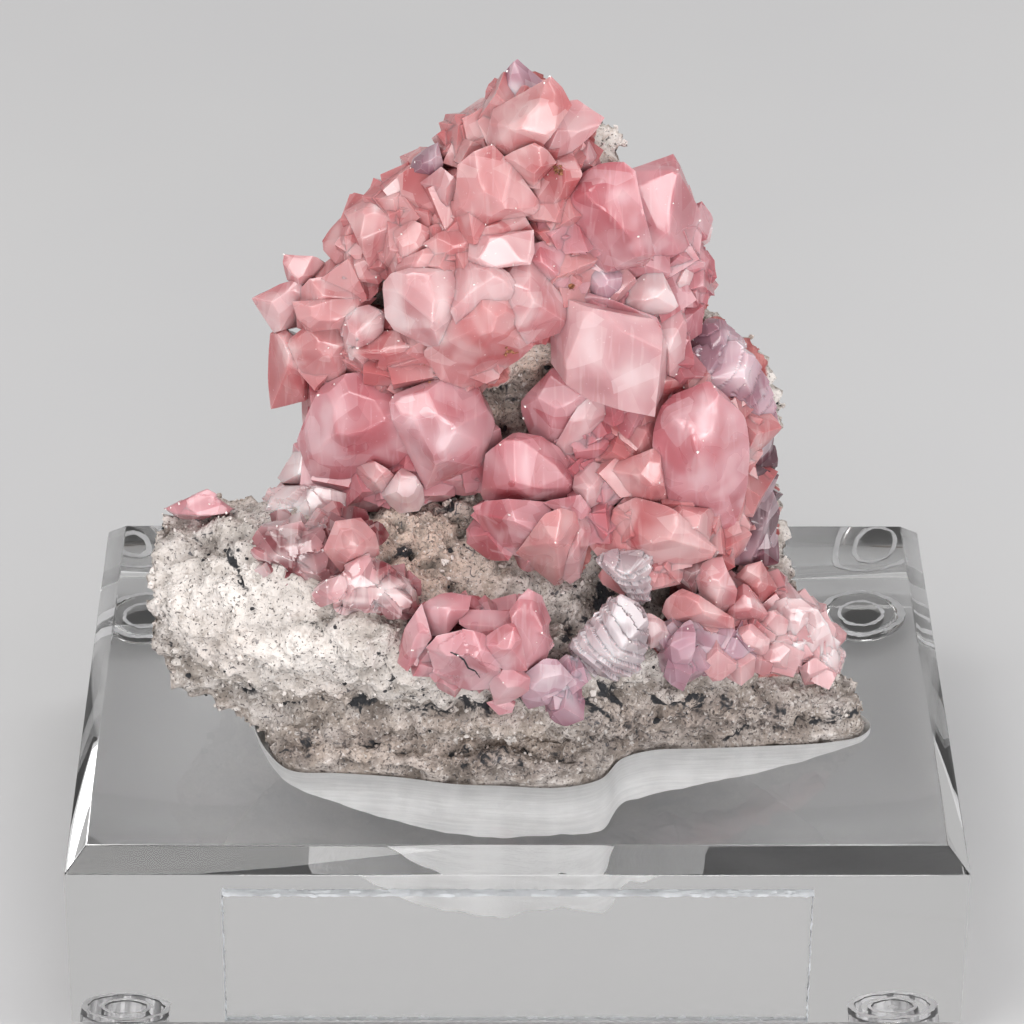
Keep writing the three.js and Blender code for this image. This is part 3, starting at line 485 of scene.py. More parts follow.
def build_label(clear, sawn):
    """The bare plate on the front: polished faces, and edges left rough from the saw."""
    back = -BLOCK_D / 2 - AIR
    front = -BLOCK_D / 2 - LABEL_T
    rng = random.Random(4)
    outline = label_outline()
    rings = []
    for row in range(LABEL_ROWS):
        y = front + (back - front) * row / (LABEL_ROWS - 1)
        eased = LABEL_EASED if row in (0, LABEL_ROWS - 1) else 0
        ring = []
        for x, z, out_x, out_z in outline:
            chip = abs(noise.noise(Vector((x, z, y * 2)) / CHIP_SIZE)) * CHIP_DEPTH
            inset = chip + rng.random() * CHIP_JITTER + eased
            ring.append(mm(x - out_x * inset, y, LABEL_LIFT + LABEL_H / 2 + z - out_z * inset))
        rings.append(ring)
    mesh = rings_to_mesh("label_plate.sheet", rings[::-1])
    mesh.materials.append(clear)
    mesh.materials.append(sawn)
    for face in mesh.polygons:
        is_edge = len(face.vertices) == 4
        face.material_index = 1 if is_edge else 0
    label = new_object("label_plate.sheet", mesh)
    smooth_by_angle(mesh, 20)
    return finish_piece(label, "label_acrylic", "label_plate")


def glue_band(x, y, inner, outer, rng, first):
    """A ring of the adhesive film above a bumper, just inside the acrylic's underside."""
    corners = ((outer, GLUE_LOW), (outer, GLUE_HIGH), (inner, GLUE_HIGH), (inner, GLUE_LOW))
    points = []
    for wide, high in corners:
        for angle in circle(FOOT_SIDES):
            ragged = 1 + 0.07 * noise.noise(Vector((angle * 3, x, wide * 9))) + rng.uniform(-0.02, 0.02)
            radius = wide * FOOT_D / 4 * ragged
            points.append(mm(x + radius * math.cos(angle), y + radius * math.sin(angle), high))
    faces = []
    for ring in range(len(corners)):
        here = first + ring * FOOT_SIDES
        above = first + (ring + 1) % len(corners) * FOOT_SIDES
        for k in range(FOOT_SIDES):
            after = (k + 1) % FOOT_SIDES
            faces.append((here + k, here + after, above + after, above + k))
    return points, faces


def foot_dome(name, x, y, rng):
    """A bumper's soft dome, upside down under the block."""
    flat = FOOT_FLAT_D / 2 / FLAT_EDGE
    rings = []
    for wide, high, ragged in FOOT_PROFILE:
        ring = []
        for angle in circle(FOOT_SIDES):
            radius = min(wide * flat if high < FLAT_TOP else wide * FOOT_D / 4, FOOT_D / 2)
            radius *= 1 - ragged * rng.random() * 2
            ring.append(mm(x + radius * math.cos(angle), y + radius * math.sin(angle), high - FOOT_H))
        rings.append(ring)
    return rings_to_mesh(name + ".dome", rings)


def build_foot(name, x, y, clear, glue):
    """A clear bumper: a soft dome, and ragged white rings of adhesive above it."""
    rng = random.Random(name)
    dome = foot_dome(name, x, y, rng)
    places = [vert.co.copy() for vert in dome.vertices]
    sides = [tuple(face.vertices) for face in dome.polygons]
    bpy.data.meshes.remove(dome)
    dome_sides = len(sides)
    for inner, outer in GLUE_RINGS:
        band, band_faces = glue_band(x, y, inner, outer, rng, len(places))
        places += band
        sides += band_faces
    mesh = mesh_of(name + ".dome", places, sides)
    mesh.materials.append(clear)
    mesh.materials.append(glue)
    for face in mesh.polygons[dome_sides:]:
        face.material_index = 1
    foot = new_object(name + ".dome", mesh)
    smooth_by_angle(mesh, 35)
    return finish_piece(foot, "foot_rubber", name)


def acrylic_material(name, rough_low=0.0, rough_high=0.025, tint=(0.93, 0.975, 0.97, 1), density=0.9):
    """Polished clear acrylic with the faintest wipe marks."""
    s = Shader(name)
    where = s.place()
    wipe = s.noise(s.place(scale=(0.05, 1, 1)), 1.5, 1)
    rough = s.ramp(wipe, 0.45, 0.75, rough_low, rough_high)
    s.surface(Base_Color=(1, 1, 1, 1), Roughness=rough, IOR=1.49, Transmission_Weight=1.0,
              Normal=s.bump(s.noise(where, 14, 0), 0.12, 0.05))
    s.absorb(tint, density)
    return s.material


def frosted_material(name, whiteness, clear_share, rough=0.55):
    """Ground acrylic: white, streaked by the tool, letting some light through."""
    s = Shader(name)
    where = s.place()
    streak = s.noise(s.place(scale=(0.25, 0.25, 2.6)), 1.3, 3, 0.6, 0.4)
    upright = s.noise(s.place(scale=(1, 1, 0.3)), 2.2, 1)
    grain = s.noise(where, 0.25, 1)
    marks = s.plus(s.times(streak, 0.6), s.times(upright, 0.4))
    tone = s.mix(s.ramp(marks, 0.3, 0.7), tuple(c * 0.93 for c in whiteness[:3]) + (1,), whiteness)
    through = s.ramp(marks, 0.3, 0.7, clear_share + 0.12, max(0, clear_share - 0.1))
    s.surface(Base_Color=tone, Roughness=rough, IOR=1.49, Specular_IOR_Level=0.0,
              Transmission_Weight=through,
              Normal=s.bump(s.plus(marks, s.times(grain, 0.3)), 0.6, 0.12))
    return s.material


def build_holder():
    clear = acrylic_material("acrylic_clear")
    frosted = frosted_material("acrylic_ground", srgb(255, 255, 255), 0.0)
    sawn = frosted_material("acrylic_sawn", srgb(226, 230, 234), 0.45)
    plate = acrylic_material("label_clear", 0.0, 0.04)
    rubber = acrylic_material("foot_clear", 0.03, 0.09, (0.95, 0.96, 0.95, 1), 30)
    adhesive = frosted_material("foot_adhesive", srgb(246, 246, 248), 0.1)
    build_block(clear, frosted)
    build_label(plate, sawn)
    for name, (x, y) in FOOT_PLACES.items():
        build_foot(name, x, y, rubber, adhesive)


# ---------------------------------------------------------------- matrix rock

ROCK_VOXEL = 0.5
CLEAR_OF_BLOCK = 0.3           # rock just above the pocket's mouth may swell only this far
BLOCK_TOP = BLOCK_MIDDLE.z + BLOCK_H

# Dark seams and creases on the face: (width, depth, blackness, sheet points). The blackness is dark
# mineral in the veins, and painted shade along the creases under the ledges.
SEAMS = [
    (3.5, 0.9, 0.8, [(225, 553), (232, 562), (240, 575), (248, 592)]),
    (6, 0.5, 0.45, [(176, 526), (195, 538), (215, 545), (235, 552), (262, 560)]),
    (5, 0.8, 0.35, [(166, 645), (176, 652), (192, 656), (215, 668)]),
    (7, 1.5, 0.55, [(203, 700), (240, 705), (290, 709), (330, 704), (365, 712), (410, 717), (470, 714),
                    (520, 712), (575, 703)]),
    (5, 1.0, 0.5, [(262, 745), (320, 742), (370, 747), (430, 752), (500, 748), (560, 756)]),
    (5, 0.6, 0.8, [(560, 690), (578, 700), (598, 712), (610, 730)]),
    (4, 0.5, 0.85, [(600, 680), (606, 696), (618, 704), (620, 722)]),
    (5, 0.6, 0.8, [(655, 700), (672, 706), (690, 700), (706, 706)]),
    (5, 0.7, 0.7, [(730, 736), (768, 728), (800, 718), (832, 722), (862, 708)]),
    (4, 0.4, 0.6, [(565, 612), (575, 632), (592, 640)]),
    (4, 0.4, 0.8, [(596, 584), (604, 596), (610, 606)]),
    (5, 0.5, 0.55, [(380, 655), (398, 690), (420, 702)]),
    (4, 0.5, 0.4, [(300, 612), (330, 640), (352, 672), (372, 690)]),
]
# Hollows and swellings: (across, down, wide, high, depth inward).
DIMPLES = [
    (245, 692, 13, 8, 1.6), (507, 393, 20, 9, 2.2), (672, 586, 24, 24, 2.0), (430, 540, 60, 50, 0.8),
    (205, 560, 30, 16, -0.8), (190, 610, 34, 26, -1.0), (300, 660, 40, 24, -0.9), (245, 640, 26, 18, -0.6),
    (350, 640, 26, 22, -0.7), (700, 690, 30, 14, -0.6), (805, 700, 34, 14, -0.5), (330, 735, 40, 12, -0.5),
    (480, 735, 40, 12, -0.6), (165, 580, 12, 16, 0.5), (270, 600, 24, 12, 0.6), (540, 350, 14, 16, -0.3),
]
# Dark mineral patches, and painted shade in the cavity and along the lower band: (across, down, wide,
# high, blackness).
DARK_AND_SHADE_PATCHES = [
    (408, 545, 16, 14, 0.8), (446, 500, 18, 12, 0.7), (470, 520, 14, 10, 0.5), (200, 533, 34, 9, 0.45),
    (578, 600, 34, 40, 0.5), (602, 592, 9, 14, 0.9), (566, 628, 10, 16, 0.8), (610, 695, 22, 24, 0.55),
    (680, 706, 26, 12, 0.6), (830, 716, 30, 12, 0.5), (640, 745, 60, 16, 0.35), (455, 768, 60, 12, 0.4),
    (532, 372, 16, 14, 0.5), (507, 393, 18, 10, 0.7), (780, 420, 16, 90, 0.45), (425, 690, 30, 8, 0.6),
    (700, 700, 16, 8, 0.7), (350, 765, 40, 10, 0.45), (620, 730, 50, 30, 0.42), (750, 715, 90, 26, 0.42),
    (500, 760, 90, 14, 0.42), (420, 735, 30, 12, 0.4), (300, 745, 30, 14, 0.4), (562, 660, 14, 12, 0.5),
    (545, 690, 16, 14, 0.6), (600, 655, 10, 10, 0.5),
]
# Brown-grey, coarser stone, and painted shade along the lower band under the overhang: (across, down,
# wide, high, strength).
BROWN_AND_SHADE_PATCHES = [
    (620, 728, 60, 34, 0.9), (750, 716, 110, 26, 0.95), (500, 762, 110, 16, 0.9), (420, 735, 60, 14, 0.6),
    (350, 736, 60, 14, 1.0),
    (300, 750, 50, 16, 0.8), (562, 662, 18, 16, 0.7), (700, 690, 60, 12, 0.7), (600, 620, 26, 44, 0.6),
    (507, 398, 24, 14, 0.7), (215, 548, 40, 10, 0.5), (250, 740, 40, 12, 0.5),
    (160, 645, 16, 20, 0.4), (840, 700, 30, 20, 0.6),
]
# Warm cream patches: (across, down, wide, high, strength).
WARM_PATCHES = [
    (415, 545, 85, 62, 1.15), (535, 365, 34, 30, 0.9), (615, 145, 26, 30, 0.8), (230, 648, 34, 24, 0.35),
    (500, 415, 30, 20, 0.7), (680, 720, 120, 26, 0.45), (430, 745, 160, 26, 0.55), (595, 460, 30, 40, 0.8),
    (330, 700, 40, 16, 0.4),
]
# Chalk-white patches: (across, down, wide, high, strength).
CHALK_PATCHES = [
    (220, 590, 95, 60, 1.0), (300, 650, 90, 40, 1.0), (768, 360, 30, 60, 1.0), (615, 140, 22, 26, 1.0),
    (380, 680, 60, 20, 0.6), (620, 655, 40, 24, 0.7), (450, 700, 60, 12, 0.6), (785, 500, 16, 60, 0.6),
]


def patch_sum(spots, patches):
    """The strongest of several oval patches at each sheet point."""
    best = np.zeros(len(spots))
    for across, down, wide, high, strength in patches:
        best = np.maximum(best, strength * spot_strength(spots, across, down, wide, high))
    return best


# Bare rock between crystals, where no pink crust grows: (across, down, wide, high, strength).
BARE_PATCHES = [
    (616, 145, 18, 26, 1), (532, 368, 22, 26, 1), (507, 405, 28, 20, 1), (430, 540, 56, 44, 1),
    (595, 440, 22, 26, 1), (600, 500, 14, 26, 0.8), (578, 620, 30, 40, 1), (455, 700, 80, 14, 1),
    (776, 350, 16, 60, 1), (785, 440, 14, 90, 1), (765, 330, 12, 20, 1), (620, 690, 60, 20, 1),
    (320, 620, 50, 16, 1), (790, 692, 70, 16, 1), (540, 590, 40, 20, 1),
]
# Groups of crystals with no pink crust round them.
STANDING_ON_BARE_ROCK = ("rose_crystals", "shelf_crystals", "shelf_druse", "salmon_crystal",
                         "broken_crystals", "lobe_crystal", "flaky_crystals", "cleaved_crystal",
                         "mauve_crystal", "small_crystal")


def covered(spots, groups=None):
    """1 where a sheet point lies under or right beside a crystal, falling to 0 around it."""
    best = np.zeros(len(spots))
    for group, crystals in CRYSTALS.items():
        if groups and group not in groups:
            continue
        for corners in crystals.values():
            flat = np.array([c[:2] for c in corners], float)
            low, high = flat.min(axis=0), flat.max(axis=0)
            reach = np.linalg.norm((spots - (low + high) / 2) / ((high - low) / 2), axis=1)
            best = np.maximum(best, np.clip((1.15 - reach) / 0.2, 0, 1))
    return best


def crust(spots):
    """1 where the rock between crystals is overgrown with small pink ones."""
    groups = [g for g in CRYSTALS if g not in STANDING_ON_BARE_ROCK]
    return covered(spots, groups) * (1 - np.clip(patch_sum(spots, BARE_PATCHES) * 1.6, 0, 1))


ROCK_GREY = (163, 154, 146)
ROCK_CREAM = (222, 197, 181)
ROCK_WHITE = (231, 224, 219)
ROCK_BLACK = (41, 42, 46)


def remeshed_rock():
    """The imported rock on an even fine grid, its flat facets melted together."""
    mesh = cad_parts["matrix_rock"].data.copy()
    rock = new_object("matrix_rock.stone", mesh)
    mesh.materials.clear()
    grid = rock.modifiers.new("grid", "REMESH")
    grid.mode = "VOXEL"
    grid.voxel_size = ROCK_VOXEL * MM
    melt = rock.modifiers.new("melt", "SMOOTH")
    melt.factor = 0.5
    melt.iterations = 9
    bake_modifiers(rock)
    return rock


def billow(points, scale, offset):
    """Rounded lumps between sharp creases, up to 1."""
    return 1 - np.abs(noise_at(points, scale, 2, offset)) * 1.6


def seam_cuts(spots, place, facing):
    """How deep the seams cut at each point, and how dark they are: dark mineral in the veins, painted
    shade along the creases.
    """
    depths = np.zeros(len(spots))
    black_and_shade = np.zeros(len(spots))
    wander = np.stack([noise_at(place, 3, 2, (1, 0, 0)), noise_at(place, 3, 2, (0, 1, 0))], axis=1) * 9
    for width, depth, darkness, line in SEAMS:
        near = np.exp(-(line_distance(spots + wander, line) / width) ** 2) * facing
        depths = np.maximum(depths, near * depth)
        black_and_shade = np.maximum(black_and_shade, near * darkness)
    return depths, black_and_shade


def keep_off_block(out, height):
    """Holds the swelling back near the block, and nearly flat inside the pocket."""
    low = np.clip((BLOCK_TOP + 3 - height) / 3, 0, 1)
    out = np.where(low > 0, np.minimum(out, CLEAR_OF_BLOCK + (1 - low) * 1.5), out)
    in_pocket = np.clip((BLOCK_TOP + 0.4 - height) / 1.5, 0, 1)
    return out * (1 - in_pocket) + np.clip(out, -0.3, 0.1) * in_pocket


def weather_rock(rock):
    """Moves the rock's skin into lumps, grains and seams, and stores where it is dark or pale, painted
    shade in its hollows, creases and lower band included.
    """
    mesh = rock.data
    points = vertex_array(mesh)
    normals = normal_array(mesh)
    spots = on_sheet(points)
    place = points / MM
    facing = np.clip(-(normals @ np.array(SIGHT)) * 2.5, 0, 1)
    left = np.clip((330 - spots[:, 0]) / 60, 0, 1) * np.clip((spots[:, 1] - 495) / 30, 0, 1)
    sugar = spot_strength(spots, 425, 545, 90, 75) * facing
    lumps = noise_at(place, 9, 3)
    knobs = billow(place, 3.6, (3, 1, 7)) - 0.5
    grain = noise_at(place, 1.5, 3, (5, 9, 2))
    fine = noise_at(place, 0.75, 2, (8, 4, 6))
    brown_and_shade = patch_sum(spots, BROWN_AND_SHADE_PATCHES) * np.clip(facing + 0.3, 0, 1)
    layer = noise_at(place * np.array((0.35, 0.35, 1.5)), 2.4, 3, (2, 2, 2))
    pock = noise_at(place, 1.9, 2, (4, 4, 1))
    seams, black_and_shade = seam_cuts(spots, place, facing)
    out = 0.95 * lumps + knobs * (0.62 + 0.3 * left - 0.3 * sugar)
    out += grain * (0.62 + 0.2 * sugar) + fine * (0.42 + 0.15 * sugar + 0.2 * brown_and_shade)
    out += layer * (0.45 + 0.35 * brown_and_shade)
    out -= np.clip(pock - 0.22, 0, 1) * 2.4 * (1 - 0.6 * left)
    for across, down, wide, high, depth in DIMPLES:
        out -= depth * facing * spot_strength(spots, across, down, wide, high)
    out = keep_off_block(out - seams, place[:, 2])
    set_vertices(mesh, points + normals * (out * MM)[:, None])
    # Painted shade: valley_shade and pit_shade darken the colour in the hollows between the lumps and in
    # the pits.
    valley_shade = np.clip(0.1 - knobs, 0, 1) * (1 - 0.6 * sugar)
    pit_shade = np.clip(-(out - lumps * 0.75) * 0.5, 0, 1) + valley_shade
    pit_shade += np.clip(pock - 0.2, 0, 1) * 2 + np.clip(-grain * 1.4 - 0.15, 0, 0.8)
    # dark holds the dark mineral of seams and patches together with painted shade along the creases, in
    # the cavity and on the lower band.
    set_value(mesh, "dark", np.maximum(black_and_shade, patch_sum(spots, DARK_AND_SHADE_PATCHES) * facing))
    set_value(mesh, "pit_shade", pit_shade)
    set_value(mesh, "brown_and_shade", brown_and_shade)
    set_value(mesh, "warm", np.maximum(patch_sum(spots, WARM_PATCHES) * facing, 0.25 * (1 - facing)))
    set_value(mesh, "chalk", patch_sum(spots, CHALK_PATCHES) * facing)
    set_value(mesh, "crust", crust(spots) * np.clip(facing * 1.5, 0, 1))


def rock_material():
    s = Shader("matrix_rock_stone")
    where = s.place()
    dark = s.value("dark")
    brown_and_shade = s.value("brown_and_shade")
    chalk = s.value("chalk")
    mottle = s.noise(where, 3.2, 3, 0.62, 0.5)
    grain = s.noise(where, 0.42, 2, 0.7)
    flecks = s.noise(where, 0.8, 2, 0.7, 1.0)
    blotch = s.noise(where, 2.0, 3, 0.75, 0.6)
    speck = s.plus(s.noise(where, 0.3, 1, 0.5), s.times(brown_and_shade, 0.06))
    dark_and_shade_edge = s.plus(dark, s.times(s.math("SUBTRACT", blotch, 0.5), 1.9))
    dark_and_shade_share = s.times(s.ramp(dark_and_shade_edge, 0.42, 0.66), s.ramp(dark, 0.02, 0.2))
    crust_edge = s.plus(s.value("crust"), s.times(blotch, 0.3))
    tone = s.mix(s.ramp(mottle, 0.38, 0.62), srgb(*ROCK_GREY), srgb(205, 198, 194))
    # The tint lays painted shade: pit_shade in the hollows, brown_and_shade on the lower band, and
    # dark_and_shade_share in the creases and the cavity, besides the real dark mineral and grain.
    tone = s.tint(
        tone,
        (s.times(s.value("warm"), s.ramp(grain, 0.3, 0.62, 0.45, 1.0)), ROCK_CREAM),
        (s.ramp(grain, 0.54, 0.66, 0, 0.55), ROCK_WHITE),
        (s.ramp(grain, 0.46, 0.34, 0, 0.6), (126, 115, 106)),
        (s.times(chalk, s.ramp(blotch, 0.36, 0.5, 0.45, 1.1)), ROCK_WHITE),
        (s.times(s.value("pit_shade"), s.ramp(chalk, 0.2, 0.8, 0.5, 0.16)), (121, 112, 105)),
        (s.times(brown_and_shade, s.ramp(blotch, 0.38, 0.6, 0.35, 1.0)), (110, 99, 94)),
        (s.ramp(grain, 0.60, 0.68, 0, 0.5), (214, 210, 208)),
        (s.ramp(speck, 0.63, 0.69, 0, 0.8), (79, 73, 72)),
        (s.times(s.ramp(flecks, 0.62, 0.69), s.ramp(mottle, 0.42, 0.6, 0.15, 0.9)), (83, 83, 88)),
        (dark_and_shade_share, ROCK_BLACK),
    )
    pink = s.mix(s.ramp(mottle, 0.35, 0.65), srgb(159, 83, 83), srgb(201, 135, 132))
    tone = s.mix(s.ramp(crust_edge, 0.55, 0.75), tone, pink)
    height = s.plus(s.times(grain, 0.8), s.times(s.cells(where, 0.5), 0.5))
    height = s.plus(height, s.times(s.cells(where, 0.9), 0.8))
    s.surface(Base_Color=tone, Roughness=s.ramp(grain, 0.3, 0.7, 0.72, 0.95), IOR=1.5,
              Specular_IOR_Level=s.ramp(dark_and_shade_share, 0.3, 1, 0.25, 0.6),
              Subsurface_Weight=0.12, Subsurface_Radius=(1, 0.9, 0.8), Subsurface_Scale=0.6 * MM,
              Normal=s.bump(height, 0.9, 0.3))
    return s.material


CRUMBS = 3200
CRUMB_LOW = 0.10               # the smallest and largest crumb's half width
CRUMB_HIGH = 0.24
BIG_CRUMB_SHARE = 0.12         # this share of them is twice as large


def build_crumbs(rock, material):
    """Loose grains and crumbs on the rock, joined in one mesh; they keep off the crystals."""
    mesh = rock.data
    rng = np.random.default_rng(5)
    points = vertex_array(mesh)
    normals = normal_array(mesh)
    bare = covered(on_sheet(points)) < 0.5
    bare |= (normals @ np.array(SIGHT)) > 0
    bare &= points[:, 2] > (BLOCK_TOP + 1.2) * MM
    chosen = rng.choice(np.flatnonzero(bare), CRUMBS, replace=False)
    shape, sides = knob_shape()
    places = []
    faces = []
    for i in chosen:
        size = rng.uniform(CRUMB_LOW, CRUMB_HIGH) * (2.0 if rng.random() < BIG_CRUMB_SHARE else 1.0)
        form = shape * rng.uniform(0.6, 1.3, (len(shape), 1)) * rng.uniform(0.7, 1.2, 3)
        first = len(places)
        places += list(points[i] + (form * size + normals[i] * size * 0.3) * MM)
        faces += [tuple(first + k for k in side) for side in sides]
    crumbs = new_object("matrix_rock.crumbs", mesh_of("matrix_rock.crumbs", places, faces))
    # The crumbs take the rock's masks, with the painted shade in dark, pit_shade and brown_and_shade.
    copied = {}
    for name in ("dark", "warm", "chalk", "pit_shade", "brown_and_shade", "crust"):
        values = np.empty(len(points), np.float32)
        mesh.attributes[name].data.foreach_get("value", values)
        copied[name] = np.repeat(values[chosen], len(shape))
    shade = np.repeat(rng.random(CRUMBS), len(shape))
    copied["dark"] = np.maximum(copied["dark"] * 0.5, (shade > 0.95) * 0.9)
    copied["chalk"] = np.maximum(copied["chalk"], (shade < 0.45) * 0.9)
    copied["pit_shade"] *= 0.3
    for name, values in copied.items():
        set_value(crumbs.data, name, values)
    crumbs.data.materials.append(material)
    return finish_piece(crumbs, "matrix_rock", "matrix_rock")


def build_rock():
    rock = remeshed_rock()
    weather_rock(rock)
    material = rock_material()
    rock.data.materials.append(material)
    build_crumbs(rock, material)
    rock.data.shade_smooth()
    return finish_piece(rock, "matrix_rock", "matrix_rock")


# ---------------------------------------------------------------- the crystals
# Each crystal is the list of its corners (across, down, stand): stand is how far the corner stands
# out from the rock's face, in units of STAND_SHARE millimetres above SEAT_LIFT.

